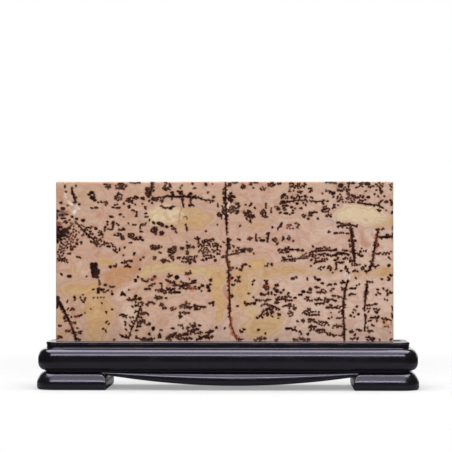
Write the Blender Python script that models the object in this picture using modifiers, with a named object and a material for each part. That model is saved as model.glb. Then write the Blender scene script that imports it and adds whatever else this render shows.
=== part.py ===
"""Picture stone: a polished slab of dendritic limestone standing in the groove of a low lacquered wood stand.

Metres, +Z up. The origin is on the surface that the feet stand on, at the middle of the stand.
+X runs along the slab, to the right as its front is seen, and the front faces -Y.
"""

import math

import bmesh
import bpy
from mathutils import Vector

MM = 0.001

# Gap kept between two pieces that touch
TOUCH_GAP = 0.3 * MM

# The slab
SLAB_LENGTH = 300 * MM
SLAB_HEIGHT = 153.5 * MM
SLAB_THICKNESS = 18 * MM
SLAB_ARRIS = 1.1 * MM
SLAB_ARRIS_STEPS = 2

# The stand over all, measured at its feet
STAND_LENGTH = 337 * MM
STAND_DEPTH = 70 * MM

# The moulded board: its levels above the surface, and how far each stands in from the widest line
BOARD_LENGTH = 335 * MM
BOARD_DEPTH = 68.8 * MM
BOARD_CORNER_RADIUS = 13.2 * MM
BOARD_UNDERSIDE = 15.2 * MM
BOARD_TOP = 41.7 * MM
LOWER_FILLET_TOP = 17.2 * MM
LOWER_FILLET_INSET = 6.1 * MM
QUIRK_INSET = 7 * MM
QUIRK_TOP = 17.7 * MM
BELLY_FOOT_INSET = 5.7 * MM
BELLY_WIDEST_LOW = 25.5 * MM
BELLY_WIDEST_HIGH = 27.3 * MM
BELLY_SHOULDER_INSET = 6.5 * MM
BELLY_SHOULDER = 36.8 * MM
NECK_INSET = 8.3 * MM
NECK_LOW = 37.4 * MM
NECK_HIGH = 39.1 * MM
RIM_INSET = 7.3 * MM
RIM_LOW = 40.1 * MM
RIM_ROUND = 0.9 * MM

# The groove is longer than the slab, which stands at its left end
GROOVE_LENGTH = 307 * MM
GROOVE_DEPTH = 12 * MM
GROOVE_SIDE_GAP = 0.3 * MM

# The two feet, each a block across the whole depth of the stand. The left one is the longer
FOOT_LENGTH_LEFT = 63.2 * MM
FOOT_LENGTH_RIGHT = 58.2 * MM
FOOT_TOP_INSET = 5.3 * MM
FOOT_WIDEST_LOW = 2.6 * MM
FOOT_WIDEST_HIGH = 6 * MM
FOOT_SOLE_INSET = 1.5 * MM
FOOT_OUTER_RADIUS = 14.2 * MM
FOOT_INNER_RADIUS = 1.2 * MM

# The hanging aprons, whose lower edge is an arc that is lowest in the middle
APRON_ARC_RADIUS = 720 * MM
APRON_ARC_X = 7 * MM
APRON_LOWEST = 3.8 * MM
APRON_TOP_THICKNESS = 9 * MM
APRON_BELLY = 4.6 * MM
APRON_BELLY_POWER = 1.5
APRON_WIDEST_SHARE = 0.34
APRON_EDGE_ROUND = 2.2 * MM
APRON_SECTIONS = 28
# How far an apron runs into a foot's shoulder before its end is cut
APRON_LAP = 1.5 * MM

# Points in the curved stretches
CORNER_STEPS = 7
SHARP_CORNER_STEPS = 2
MOULDING_STEPS = 7
CUTTER_MARGIN = 5 * MM


def material(name, colour, roughness, metallic=0.0):
    """A Principled BSDF material of one colour."""
    made = bpy.data.materials.new(name)
    made.use_nodes = True
    shader = made.node_tree.nodes["Principled BSDF"]
    shader.inputs["Base Color"].default_value = (*colour, 1.0)
    shader.inputs["Roughness"].default_value = roughness
    shader.inputs["Metallic"].default_value = metallic
    made.diffuse_color = (*colour, 1.0)
    return made


def collection(name):
    made = bpy.data.collections.new(name)
    bpy.context.scene.collection.children.link(made)
    return made


def rounded_rectangle(low_x, high_x, half_depth, left_radius, right_radius, left_steps, right_steps, z):
    """One level outline, counter-clockwise as seen from above, with its own corner radius at each end."""
    corners = (
        (high_x, half_depth, right_radius, right_steps, 0),
        (low_x, half_depth, left_radius, left_steps, 90),
        (low_x, -half_depth, left_radius, left_steps, 180),
        (high_x, -half_depth, right_radius, right_steps, 270),
    )
    outline = []
    for corner_x, corner_y, radius, steps, start in corners:
        centre_x = corner_x - math.copysign(radius, corner_x - (low_x + high_x) / 2)
        centre_y = corner_y - math.copysign(radius, corner_y)
        for step in range(steps + 1):
            turn = math.radians(start + 90 * step / steps)
            outline.append(
                Vector((centre_x + radius * math.cos(turn), centre_y + radius * math.sin(turn), z))
            )
    return outline


def quarter(inset_from, z_from, inset_to, z_to, bulging_first, power=2.0):
    """Quarter of an ellipse between two (inset, height) points, without its first point.

    bulging_first says that the curve starts upright at its first point, as a shoulder that rises from the
    widest line does. Otherwise it ends upright. A power under 2 makes the quarter flatter.
    """
    points = []
    for step in range(1, MOULDING_STEPS + 1):
        turn = math.radians(90 * step / MOULDING_STEPS)
        along = math.sin(turn) ** (2 / power)
        across = 1 - math.cos(turn) ** (2 / power)
        if not bulging_first:
            along, across = across, along
        points.append((inset_from + (inset_to - inset_from) * across, z_from + (z_to - z_from) * along))
    return points


def loft(name, sections, finish, home):
    """A closed solid through sections of equal point counts: the first is extruded to each next one in turn."""
    mesh = bpy.data.meshes.new(name)
    bm = bmesh.new()
    ring = [bm.verts.new(point) for point in sections[0]]
    edges = [bm.edges.new((ring[i - 1], ring[i])) for i in range(len(ring))]
    ends = [edges]
    for section in sections[1:]:
        made = bmesh.ops.extrude_edge_only(bm, edges=edges)["geom"]
        partner = {}
        for edge in (item for item in made if isinstance(item, bmesh.types.BMEdge)):
            for vert in edge.verts:
                for side in vert.link_edges:
                    other = side.other_vert(vert)
                    if other in ring:
                        partner[other] = vert
        ring = [partner[vert] for vert in ring]
        for vert, point in zip(ring, section):
            vert.co = point
        edges = [bm.edges.get((ring[i - 1], ring[i])) for i in range(len(ring))]
    ends.append(edges)
    for end in ends:
        bmesh.ops.edgeloop_fill(bm, edges=end)
    bmesh.ops.recalc_face_normals(bm, faces=bm.faces)
    bm.to_mesh(mesh)
    bm.free()
    mesh.materials.append(finish)
    made = bpy.data.objects.new(name, mesh)
    home.objects.link(made)
    return made


def smooth(piece, angle=30):
    piece.data.shade_smooth()
    piece.data.set_sharp_from_angle(angle=math.radians(angle))


def cut(piece, cutter):
    """Boolean difference that stays on the piece as a modifier. The cutter isn't rendered."""
    cutter.hide_render = True
    cutter.display_type = "WIRE"
    difference = piece.modifiers.new("cut " + cutter.name, "BOOLEAN")
    difference.operation = "DIFFERENCE"
    difference.object = cutter


def box(name, size, centre, home):
    """A box of this size about this centre, made as a cube with its scale applied to the mesh."""
    mesh = bpy.data.meshes.new(name)
    bm = bmesh.new()
    bmesh.ops.create_cube(bm, size=1.0)
    bmesh.ops.scale(bm, vec=Vector(size), verts=bm.verts)
    bm.to_mesh(mesh)
    bm.free()
    made = bpy.data.objects.new(name, mesh)
    made.location = centre
    home.objects.link(made)
    return made


def board_profile():
    """The moulding round the board, as (inset, height) points from its underside up to its top face."""
    profile = [
        (LOWER_FILLET_INSET, BOARD_UNDERSIDE),
        (LOWER_FILLET_INSET, LOWER_FILLET_TOP),
        (QUIRK_INSET, LOWER_FILLET_TOP),
        (QUIRK_INSET, QUIRK_TOP),
        (BELLY_FOOT_INSET, QUIRK_TOP),
    ]
    profile += quarter(BELLY_FOOT_INSET, QUIRK_TOP, 0, BELLY_WIDEST_LOW, bulging_first=False)
    profile.append((0, BELLY_WIDEST_HIGH))
    profile += quarter(0, BELLY_WIDEST_HIGH, BELLY_SHOULDER_INSET, BELLY_SHOULDER, bulging_first=True, power=1.75)
    profile += [
        (NECK_INSET - 0.3 * MM, BELLY_SHOULDER + 0.1 * MM),
        (NECK_INSET, NECK_LOW),
        (NECK_INSET, NECK_HIGH),
        (RIM_INSET + 0.25 * MM, RIM_LOW - 0.3 * MM),
        (RIM_INSET, RIM_LOW),
        (RIM_INSET, BOARD_TOP - RIM_ROUND),
        (RIM_INSET + 0.3 * RIM_ROUND, BOARD_TOP - 0.3 * RIM_ROUND),
        (RIM_INSET + RIM_ROUND, BOARD_TOP),
    ]
    return profile


def make_board(finish, home, cutters):
    """The moulded board of the stand, with the slab's groove cut in its top."""
    sections = [
        rounded_rectangle(
            -BOARD_LENGTH / 2 + inset,
            BOARD_LENGTH / 2 - inset,
            BOARD_DEPTH / 2 - inset,
            BOARD_CORNER_RADIUS - inset,
            BOARD_CORNER_RADIUS - inset,
            CORNER_STEPS,
            CORNER_STEPS,
            height,
        )
        for inset, height in board_profile()
    ]
    board = loft("stand_board", sections, finish, home)
    groove_width = SLAB_THICKNESS + 2 * GROOVE_SIDE_GAP
    groove = box(
        "groove",
        (GROOVE_LENGTH, groove_width, GROOVE_DEPTH + CUTTER_MARGIN),
        (0, 0, BOARD_TOP - GROOVE_DEPTH + (GROOVE_DEPTH + CUTTER_MARGIN) / 2),
        cutters,
    )
    cut(board, groove)
    smooth(board)
    return board


def foot_sections(side, growth=0.0):
    """The outlines of one foot from its sole up. side is -1 on the left; growth makes a larger copy for a cutter."""
    profile = [(FOOT_SOLE_INSET, 0.0)]
    profile += quarter(FOOT_SOLE_INSET, 0.0, 0, FOOT_WIDEST_LOW, bulging_first=False)
    top = BOARD_UNDERSIDE - TOUCH_GAP
    profile.append((0, FOOT_WIDEST_HIGH))
    profile += quarter(0, FOOT_WIDEST_HIGH, FOOT_TOP_INSET, top, bulging_first=True)
    if growth:
        profile = (
            [(profile[0][0], -CUTTER_MARGIN)] + profile + [(profile[-1][0], top + CUTTER_MARGIN)]
        )
    length = FOOT_LENGTH_LEFT if side < 0 else FOOT_LENGTH_RIGHT
    sections = []
    for inset, height in profile:
        low = STAND_LENGTH / 2 - length + inset - growth
        high = STAND_LENGTH / 2 - inset + growth
        outer_radius = FOOT_OUTER_RADIUS - inset + growth
        radii = (FOOT_INNER_RADIUS, outer_radius)
        steps = (SHARP_CORNER_STEPS, CORNER_STEPS)
        if side < 0:
            low, high = -high, -low
            radii = radii[::-1]
            steps = steps[::-1]
        half_depth = STAND_DEPTH / 2 - inset + growth
        sections.append(rounded_rectangle(low, high, half_depth, *radii, *steps, height))
    return sections


def make_foot(name, side, finish, home):
    foot = loft(name, foot_sections(side), finish, home)
    smooth(foot)
    return foot


def apron_section(x, facing):
    """The apron's closed outline across the stand at x. facing is -1 for the front apron."""
    top = BOARD_UNDERSIDE - TOUCH_GAP
    bottom = APRON_LOWEST + APRON_ARC_RADIUS - math.sqrt(APRON_ARC_RADIUS**2 - (x - APRON_ARC_X) ** 2)
    fullness = (top - bottom) / (top - APRON_LOWEST)
    belly = APRON_BELLY * fullness**APRON_BELLY_POWER
    face = STAND_DEPTH / 2 - FOOT_TOP_INSET
    back = face - APRON_TOP_THICKNESS
    widest = bottom + APRON_WIDEST_SHARE * (top - bottom)
    edge_round = min(APRON_EDGE_ROUND, 0.4 * (top - bottom))
    outline = [(back, top), (face, top)]
    for step in range(1, MOULDING_STEPS + 1):
        turn = math.radians(90 * step / MOULDING_STEPS)
        outline.append((face + belly * math.sin(turn), widest + (top - widest) * math.cos(turn)))
    for step in range(1, MOULDING_STEPS + 1):
        turn = math.radians(90 * step / MOULDING_STEPS)
        outline.append(
            (face + belly - edge_round * (1 - math.cos(turn)), widest - (widest - bottom) * math.sin(turn))
        )
    outline.append((back, bottom))
    return [Vector((x, facing * depth, height)) for depth, height in outline]


def make_apron(name, facing, finish, home, cutters):
    """A hanging apron, cut at both ends to the moulded ends of the feet."""
    low = -STAND_LENGTH / 2 + FOOT_LENGTH_LEFT - FOOT_TOP_INSET - APRON_LAP
    high = STAND_LENGTH / 2 - FOOT_LENGTH_RIGHT + FOOT_TOP_INSET + APRON_LAP
    sections = [
        apron_section(low + (high - low) * step / APRON_SECTIONS, facing) for step in range(APRON_SECTIONS + 1)
    ]
    apron = loft(name, sections, finish, home)
    for side in (-1, 1):
        where = "left" if side < 0 else "right"
        cut(apron, loft(f"{name} end {where}", foot_sections(side, TOUCH_GAP), finish, cutters))
    smooth(apron)
    return apron


def make_slab(finish, home):
    """The slab with its softened edges, standing at the left end of the groove."""
    bottom = BOARD_TOP - GROOVE_DEPTH + TOUCH_GAP
    left = -GROOVE_LENGTH / 2 + TOUCH_GAP
    slab = box(
        "picture_stone",
        (SLAB_LENGTH, SLAB_THICKNESS, SLAB_HEIGHT),
        (left + SLAB_LENGTH / 2, 0, bottom + SLAB_HEIGHT / 2),
        home,
    )
    slab.data.materials.append(finish)
    arris = slab.modifiers.new("arris", "BEVEL")
    arris.width = SLAB_ARRIS
    arris.segments = SLAB_ARRIS_STEPS
    arris.limit_method = "ANGLE"
    return slab


def main():
    for old in list(bpy.data.objects):
        bpy.data.objects.remove(old)
    home = collection("picture stone")
    cutters = collection("cutters")
    stone = material("polished dendritic limestone", (0.60, 0.41, 0.31), 0.25)
    lacquer = material("black lacquered wood", (0.012, 0.010, 0.012), 0.22)
    make_slab(stone, home)
    make_board(lacquer, home, cutters)
    make_foot("foot_left", -1, lacquer, home)
    make_foot("foot_right", 1, lacquer, home)
    make_apron("apron_front", -1, lacquer, home, cutters)
    make_apron("apron_back", 1, lacquer, home, cutters)


main()
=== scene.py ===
"""Looks of the picture stone: a polished slab of dendritic limestone in a black lacquered stand.

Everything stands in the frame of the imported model: metres, +Z up, +X along the slab, and the front faces -Y.
The slab's markings are placed in millimetres on its front: u runs from its left end and v up from the rim of
the stand. They are colour only. Each one becomes small overlapping discs or a soft patch, and the mesh of the
slab carries how deep a point lies in them as named attributes that the stone's material reads.
"""

import math
import random

import bmesh
import bpy
import numpy as np
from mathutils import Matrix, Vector
from mathutils.geometry import delaunay_2d_cdt


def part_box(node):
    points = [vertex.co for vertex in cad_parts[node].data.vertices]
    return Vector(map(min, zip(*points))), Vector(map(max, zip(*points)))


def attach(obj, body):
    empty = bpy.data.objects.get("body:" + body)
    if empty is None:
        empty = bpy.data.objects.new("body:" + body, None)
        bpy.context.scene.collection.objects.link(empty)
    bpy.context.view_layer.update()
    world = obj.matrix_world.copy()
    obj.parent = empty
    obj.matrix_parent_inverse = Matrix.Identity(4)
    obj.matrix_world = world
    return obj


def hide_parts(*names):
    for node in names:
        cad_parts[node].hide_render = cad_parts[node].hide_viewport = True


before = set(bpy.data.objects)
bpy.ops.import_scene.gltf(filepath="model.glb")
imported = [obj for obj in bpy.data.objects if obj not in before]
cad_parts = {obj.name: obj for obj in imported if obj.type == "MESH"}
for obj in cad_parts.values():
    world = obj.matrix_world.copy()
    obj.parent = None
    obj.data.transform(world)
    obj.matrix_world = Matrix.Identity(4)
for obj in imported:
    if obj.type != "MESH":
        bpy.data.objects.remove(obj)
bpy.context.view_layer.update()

bl_info = {
    "name": "Picture stone",
    "version": (1, 0, 0),
    "blender": (4, 5, 0),
    "location": "3D View > Sidebar > Picture stone",
    "description": "Dendritic limestone slab in a lacquered stand, with its stage",
    "category": "Object",
}

MM = 0.001

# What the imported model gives
SLAB_LOW, SLAB_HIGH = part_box("picture_stone")
BOARD_LOW, BOARD_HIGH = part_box("stand_board")
LEFT_FOOT_LOW, LEFT_FOOT_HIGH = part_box("foot_left")
RIGHT_FOOT_LOW, RIGHT_FOOT_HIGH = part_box("foot_right")
APRON_LOW, APRON_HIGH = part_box("apron_front")

SLAB_LENGTH = (SLAB_HIGH.x - SLAB_LOW.x) / MM
SLAB_SHOWN = (SLAB_HIGH.z - BOARD_HIGH.z) / MM

# Moulding of the board: each level's height above its underside and how far it stands in, in millimetres
FILLET_TOP = 1.0
FILLET_INSET = 6.1
FILLET_BEVEL = 0.4
QUIRK_INSET = 7.0
QUIRK_TOP = 1.5
BELLY_FOOT_INSET = 5.7
BELLY_WIDEST_LOW = 8.4
BELLY_WIDEST_HIGH = 10.8
SHOULDER_INSET = 6.5
SHOULDER_TOP = 20.5
SHOULDER_POWER = 2.2
LEDGE_RUN = 0.6
LEDGE_RISE = 0.08
LEDGE_END_RISE = 0.1
NECK_INSET = 7.7
NECK_LOW = 21.2
NECK_HIGH = 24.0
NECK_BEVEL = 0.3
RIM_INSET = 7.3
RIM_LOW = 24.6
RIM_BEVEL = 0.25
RIM_ROUND = 0.9
BOARD_CORNER_RADIUS = 16.5
BOARD_CORNER_STEPS = 20
CURVE_STEPS = 14
GROOVE_LENGTH = 307.0
GROOVE_DEPTH = 12.0
GROOVE_GAP = 0.3
GROOVE_CUT_OVER = 10.0
DOUBLES_GAP = 0.01

# Feet and aprons, in millimetres
FOOT_TOP_INSET = 5.3
FOOT_WIDEST_LOW = 2.6
FOOT_WIDEST_HIGH = 6.0
FOOT_SOLE_INSET = 1.5
FOOT_SHOULDER_POWER = 1.4
FOOT_OUTER_RADIUS = 17.0
FOOT_INNER_RADIUS = 1.2
FOOT_CORNER_STEPS = 16
FOOT_RUN = 4.0
APRON_ARC_RADIUS = 720.0
APRON_ARC_X = 7.0
APRON_THICKNESS = 9.0
APRON_BELLY = 4.6
APRON_BELLY_POWER = 1.5
APRON_WIDEST_SHARE = 0.34
APRON_EDGE_ROUND = 2.2
APRON_SECTIONS = 90
APRON_LAP = 1.5
APRON_LEAST = 0.3
TOUCH_GAP = 0.3

# Wear of the stand's proud edges, with its reach in millimetres and its folds in degrees
INNER_END_WEAR = 0.12
INNER_END_REACH = 4.0
WORN_FROM_FOLD = 8
FULLY_WORN_FOLD = 50
WEAR_LIMIT = 1.5

# Angles past which an edge is shaded sharp, in degrees
SLAB_SMOOTH_ANGLE = 40
STAND_SMOOTH_ANGLE = 35

# The photograph's camera, as fitted to the stand and the slab
CAMERA_DISTANCE = 1.518
CAMERA_HEIGHT = 0.1217
CAMERA_AZIMUTH = 1.625
CAMERA_PAN = 0.07
CAMERA_TILT_UP = 0.84
CAMERA_LENS = 135.3
CAMERA_SENSOR = 36
CAMERA_CLIP_START = 0.01
CAMERA_CLIP_END = 30

# The stage, in metres
FLOOR_HALF = 5.0
FLOOR_GAP = 0.0002
FLOOR_UNDERSIDE = -0.02
FLOOR_LIT = 0.2
FLOOR_WHITE = 0.6
# Share of glowing white that the camera sees on the floor near the object: painted light that lifts the
# shadows there
FLOOR_FILL = 0.3
FLOOR_NEAR = 0.20
FLOOR_DARK = 0.42
# Share of dark grey that gloss sees on the floor: painted shade in its reflections
FLOOR_GLOSSED = 0.7
BACKDROP_Y = 2.5
BACKDROP_LOW = 0.1
BACKDROP_HALF = 2.2
BACKDROP_HIGH = 1.6
BACKDROP_THICKNESS = 0.02
LIGHT_AIM_HEIGHT = 0.06
# Each light: width, height, distance and elevation in degrees
TOP_LIGHT = (2.0, 0.8, 0.95, 90)
FRONT_LIGHT = (2.2, 1.25, 1.6, 52)
STRIP_LIGHT = (2.2, 0.2, 1.6, 30)
LOW_LIGHT = (2.2, 0.5, 1.8, 13)

# Clear stone inside the dark stain at the left: (u, v, radius)
HOLES = ((4.0, 99.3, 0.9), (4.8, 99.0, 0.7), (3.2, 105.4, 1.5), (9.6, 95.2, 0.5))

# How the slab's markings become a mesh, in millimetres
FACE_STEP = 0.25
ROW_PITCH = 0.866
FIELD_REACH = 2.5
ARRIS_STEPS = 3
ARRIS_UNEVEN = 0.35
EDGE_STEPS = 7
OUTLINE_STEP = 1.5
SLAB_CORNER_RADIUS = 1.2
FRONT_SPACINGS = ((0.5, 0.36), (0.95, 0.95), (2.2, None))
BACK_SPACINGS = ((0.8, 0.45), (1.6, 1.4), (3.2, None))
BACK_WANDER = 7.0
FLECKS_MORE = 1.9
FLECK_ALONG = 2.45
FLECK_ASIDE = 1.8
FLECK_TRIES = 9
TWIG_STEP = 0.35
TWIG_GROWTH = 0.84
BEAD_RUN = 3
BEAD_SIZES = (0.62, 1.25)
PATCH_WARP = 4.4
BACK_KEPT = 0.8
MARK_FADE = 0.45
BAKE_PIXELS = 1024
BAKE_PIXELS_PER_MM = 3.0
BAKE_GUTTER = 4

# Soft colour patches of the stone: (u, v, width, height, strength), with a lean in degrees where they lean
PATCHES = {
    "pale": (
        (213, 55, 18, 9, 0.9), (66, 23, 17, 26, 0.75), (105, 16, 34, 14, 0.4), (258, 57, 7, 8, 0.8),
        (240, 98, 26, 8, 0.5), (281, 90, 6, 14, 0.5), (24, 66, 12, 14, 0.5), (30, 118, 20, 8, 0.3, -20),
        (80, 112, 7, 10, 0.5), (168, 86, 16, 5, 0.4), (190, 44, 34, 16, 0.3), (278, 45, 18, 22, 0.35),
        (226, 130, 24, 10, 0.3), (133, 129, 7, 6, 0.5), (230, 40, 30, 30, 0.3), (215, 20, 30, 26, 0.4),
    ),
    "lilac": (
        (127, 119, 36, 6, 0.8, -4), (140, 110, 8, 14, 0.5), (97, 122, 26, 4, 0.3),
        (247, 108, 9, 12, 0.8, -20), (270, 122, 34, 4, 0.5, -6), (268, 101.5, 40, 4, 0.5),
        (293, 113, 12, 6, 0.5), (24, 12, 7, 20, 0.7), (53.5, 20, 7, 32, 0.6), (43, 79, 12, 6, 0.5),
        (200, 64, 22, 5, 0.6), (184, 126, 14, 8, 0.4), (205, 98, 24, 20, 0.3), (144, 8, 12, 16, 0.5),
        (262, 10, 14, 20, 0.3), (90, 4, 20, 8, 0.3),
    ),
    "rose": (
        (40, 111, 10, 7, 0.6), (37, 76, 7, 8, 0.7), (88, 93, 9, 10, 0.4), (94, 92.5, 5, 5, 0.5),
        (80, 76, 9, 5, 0.8), (88, 133, 12, 10, 0.4), (272.5, 91, 8, 15, 0.8), (228, 103, 9, 11, 0.5),
        (236, 87, 22, 5, 0.5), (3, 130, 7, 18, 0.7), (168, 38, 12, 10, 0.3), (160, 16, 9, 18, 0.5),
        (93, 17, 10, 10, 0.5), (198, 89, 22, 6, 0.4), (193, 116, 20, 10, 0.25), (208, 88, 30, 6, 0.35),
        (24, 12, 8, 20, 0.4), (54, 20, 8, 30, 0.4), (65, 64, 22, 12, 0.6, 35),
    ),
    "orange": (
        (53, 56, 23, 19, 1, 25), (62, 63, 18, 9, 0.7, 35), (294, 16, 6, 12, 0.6), (90, 132, 8, 10, 0.3),
        (2.5, 132, 5, 16, 0.4), (198, 89, 14, 5, 0.25), (96, 16, 5, 4, 0.3), (291, 62, 16, 6, 0.4),
    ),
    "green": (
        (30, 140, 10, 3, 0.9), (90, 64, 16, 6, 0.6), (136, 60, 18, 10, 0.8, -20), (146, 44, 11, 32, 0.6),
        (170, 50, 20, 20, 0.4, 30), (186, 15, 36, 25, 0.8), (171, 32, 12, 24, 0.7, 25),
    ),
    "ochre": (
        (113, 110, 62, 20, 0.8), (124, 110, 38, 15, 0.7), (122, 102, 20, 6, 0.2), (24, 46, 38, 14, 0.9, -3),
        (38, 22, 26, 52, 0.9), (17.5, 63, 6, 11, 0.6), (3, 21, 7, 11, 0.6), (7, 6, 11, 12, 0.6),
        (45, 70, 13, 7, 0.9, -20), (19, 94, 6, 10, 0.4), (11, 104, 8, 6, 0.5), (181, 102, 22, 10, 0.5),
        (181, 70, 18, 12, 0.8), (193, 62, 68, 11, 0.85), (163, 51, 16, 26, 0.85, 15), (161, 33, 20, 26, 0.5),
        (184, 15, 36, 25, 0.5, 10), (290, 62, 24, 10, 0.9), (272, 59, 18, 6, 0.6), (240, 62, 28, 7, 0.5),
        (293, 106, 18, 10, 0.8), (145, 38, 13, 48, 0.9), (296, 16, 6, 16, 0.4),
    ),
    "yellow": (
        (181, 69.5, 13, 9, 0.6), (45, 70, 10, 6, 0.9, -30), (33, 20, 8, 34, 0.5), (27, 46, 15, 7, 0.6),
        (17.5, 63, 5, 10, 0.5), (179, 13, 30, 19, 0.25), (124, 109, 14, 7, 0.3), (90, 64, 12, 5, 0.45),
        (135, 61, 14, 5, 0.4), (266, 113, 30, 8, 0.25), (292, 106, 10, 6, 0.3), (145, 42, 8, 34, 0.45),
    ),
    "cream": (
        (96, 112, 28, 18, 0.9), (104, 111, 18, 15, 0.5), (86, 113, 10, 10, 0.5), (270, 112, 46, 17, 0.8, -3),
        (256, 113, 20, 12, 0.5), (285, 111, 24, 13, 0.5, -5),
    ),
    "calcite": (
        (9.6, 129, 2.2, 9, 0.8, 22), (12, 122.6, 2.6, 8, 0.9, 30), (16.8, 120.6, 1.8, 8, 0.8, -44),
        (13, 116, 6, 3, 0.7, 14), (13.4, 112.6, 1.6, 6, 0.6, 20), (17.6, 119, 6, 1.6, 0.6, 10),
        (258, 57.4, 3, 5, 0.7), (10.6, 118, 3, 2, 0.5), (86.6, 105.6, 10, 1, 0.2, 12), (297.6, 7, 3, 6, 0.25),
    ),
    "rust": (
        (4, 105.2, 8, 3.4, 0.9), (3.4, 97.6, 4.6, 3.4, 0.7), (6, 114.6, 8, 3.6, 0.5, -10),
        (15, 94, 5, 5, 0.4), (87, 56, 4.4, 3, 0.9), (75.2, 54.6, 3, 3, 0.9), (100, 48.6, 3, 3, 0.6),
        (120.5, 46.6, 6, 4, 0.7), (97, 43.6, 5, 2, 0.4), (68, 116, 4, 3, 0.5), (155.4, 19, 3.6, 5, 0.8, 10),
        (153.6, 60, 3.4, 34, 0.4, 3), (154, 38, 3.4, 22, 0.5), (283, 88, 3, 28, 0.5, 6),
        (262.4, 92, 3, 24, 0.3, -6), (275, 38, 2.4, 34, 0.3, 2), (256, 34, 2.4, 40, 0.25, 2),
        (16, 22, 8, 34, 0.3, -22), (157, 13.6, 4, 6, 0.9, 12), (159, 7, 6, 8, 0.9, 20), (163, 4, 7, 5, 0.5),
        (207, 100.6, 4, 4, 0.7), (196.6, 86.4, 4, 2.4, 0.5), (202, 108, 3, 1, 0.2), (187, 49.6, 5, 4, 0.5),
        (292, 19, 6, 4, 0.5), (297, 13, 4, 7, 0.5), (8, 79, 4, 3, 0.5), (14, 83, 5, 3, 0.4),
        (79, 56, 8, 2, 0.4), (90, 55, 5, 2, 0.4), (83, 130, 4, 6, 0.3), (266, 86, 4, 10, 0.3),
        (284.6, 86, 3, 20, 0.3, 6),
    ),
    "stain": (
        (4.4, 98, 11, 9, 1), (2.4, 104.6, 9, 5, 0.8), (3, 89.4, 8, 8, 0.15), (2.6, 112, 8, 8, 0.8),
        (4, 80, 8, 10, 0.3), (2, 73, 6, 6, 0.4), (1, 37, 3, 10, 0.5), (299.8, 24, 1.2, 30, 0.8),
        (254, 138, 8, 6, 0.4), (155, 125, 8, 10, 0.25), (215, 130, 10, 8, 0.2), (106, 81, 8, 6, 0.15),
        (57, 137, 8, 6, 0.3), (121, 6, 20, 8, 0.2), (100, 5, 14, 6, 0.15), (15, 37, 5, 4, 0.2),
    ),
}

# Bands of colour that run across the stone: (width, strength), then the points (u, v)
BANDS = {
    "green": (((8, 0.85), ((74, 58), (80, 63), (90, 64.4), (105, 64), (120, 62.4), (130, 63), (140, 61))),),
    "rose": (
        ((3, 0.7), ((0, 61), (8, 62.4), (14, 63.4))),
        ((9, 0.9), ((56, 58), (66, 66), (76, 71.6))),
        ((2.4, 0.6), ((22, 72), (30, 76), (34, 84))),
        ((2.4, 0.6), ((57, 44), (60, 50), (66, 56), (80, 67), (100, 68))),
        ((2.4, 0.6), ((66, 44), (76, 48.6))),
        ((3, 0.5), ((100, 66), (120, 66.8), (140, 66.4))),
        ((2, 0.6), ((100, 99), (102.4, 95), (104, 90))),
        ((1.8, 0.5), ((115, 45), (120, 40.6), (138, 36))),
        ((2.2, 0.5), ((13, 44), (20, 34), (25, 22), (27, 8))),
        ((2, 0.4), ((166, 51), (172, 48), (196, 53), (206, 61))),
    ),
    "pale": (
        ((3.4, 0.8), ((56, 36), (64, 45), (72, 54))),
        ((2, 0.6), ((128, 20), (134, 14), (138, 9))),
        ((2.2, 0.8), ((168, 31), (178, 26.6), (190, 22), (200, 14), (203, 5))),
        ((2.4, 0.5), ((140, 56), (139.6, 44), (138.6, 30), (141, 18))),
        ((2, 0.6), ((150, 66), (151, 50), (150.6, 36), (152, 24))),
        ((2.2, 0.6), ((240, 66.4), (262, 66), (290, 70))),
        ((2, 0.5), ((83, 108), (90, 102.4), (106, 101), (124, 98), (144, 101))),
        ((2, 0.5), ((156, 92), (166, 95), (184, 95), (196, 97))),
    ),
    "calcite": (((1.5, 0.7), ((152.8, 135), (152.4, 122), (153, 108))),),
    "ochre": (((6, 0.5), ((138, 61), (145, 56), (146.4, 44), (145, 30), (143, 18))),),
    "lilac": (
        ((3, 0.6), ((190, 66), (206, 66), (228, 63))),
        ((2, 0.5), ((0, 50), (12, 52), (26, 53), (42, 52))),
        ((2, 0.5), ((156, 43), (163, 34), (166, 26), (172, 21))),
    ),
}
PATCH_SOFTNESS = {
    "pale": 0.9, "lilac": 0.9, "rose": 1.0, "orange": 0.9, "green": 0.9, "ochre": 0.85, "yellow": 1.0,
    "cream": 0.75, "calcite": 0.9, "rust": 0.9, "stain": 0.7,
}

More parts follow.
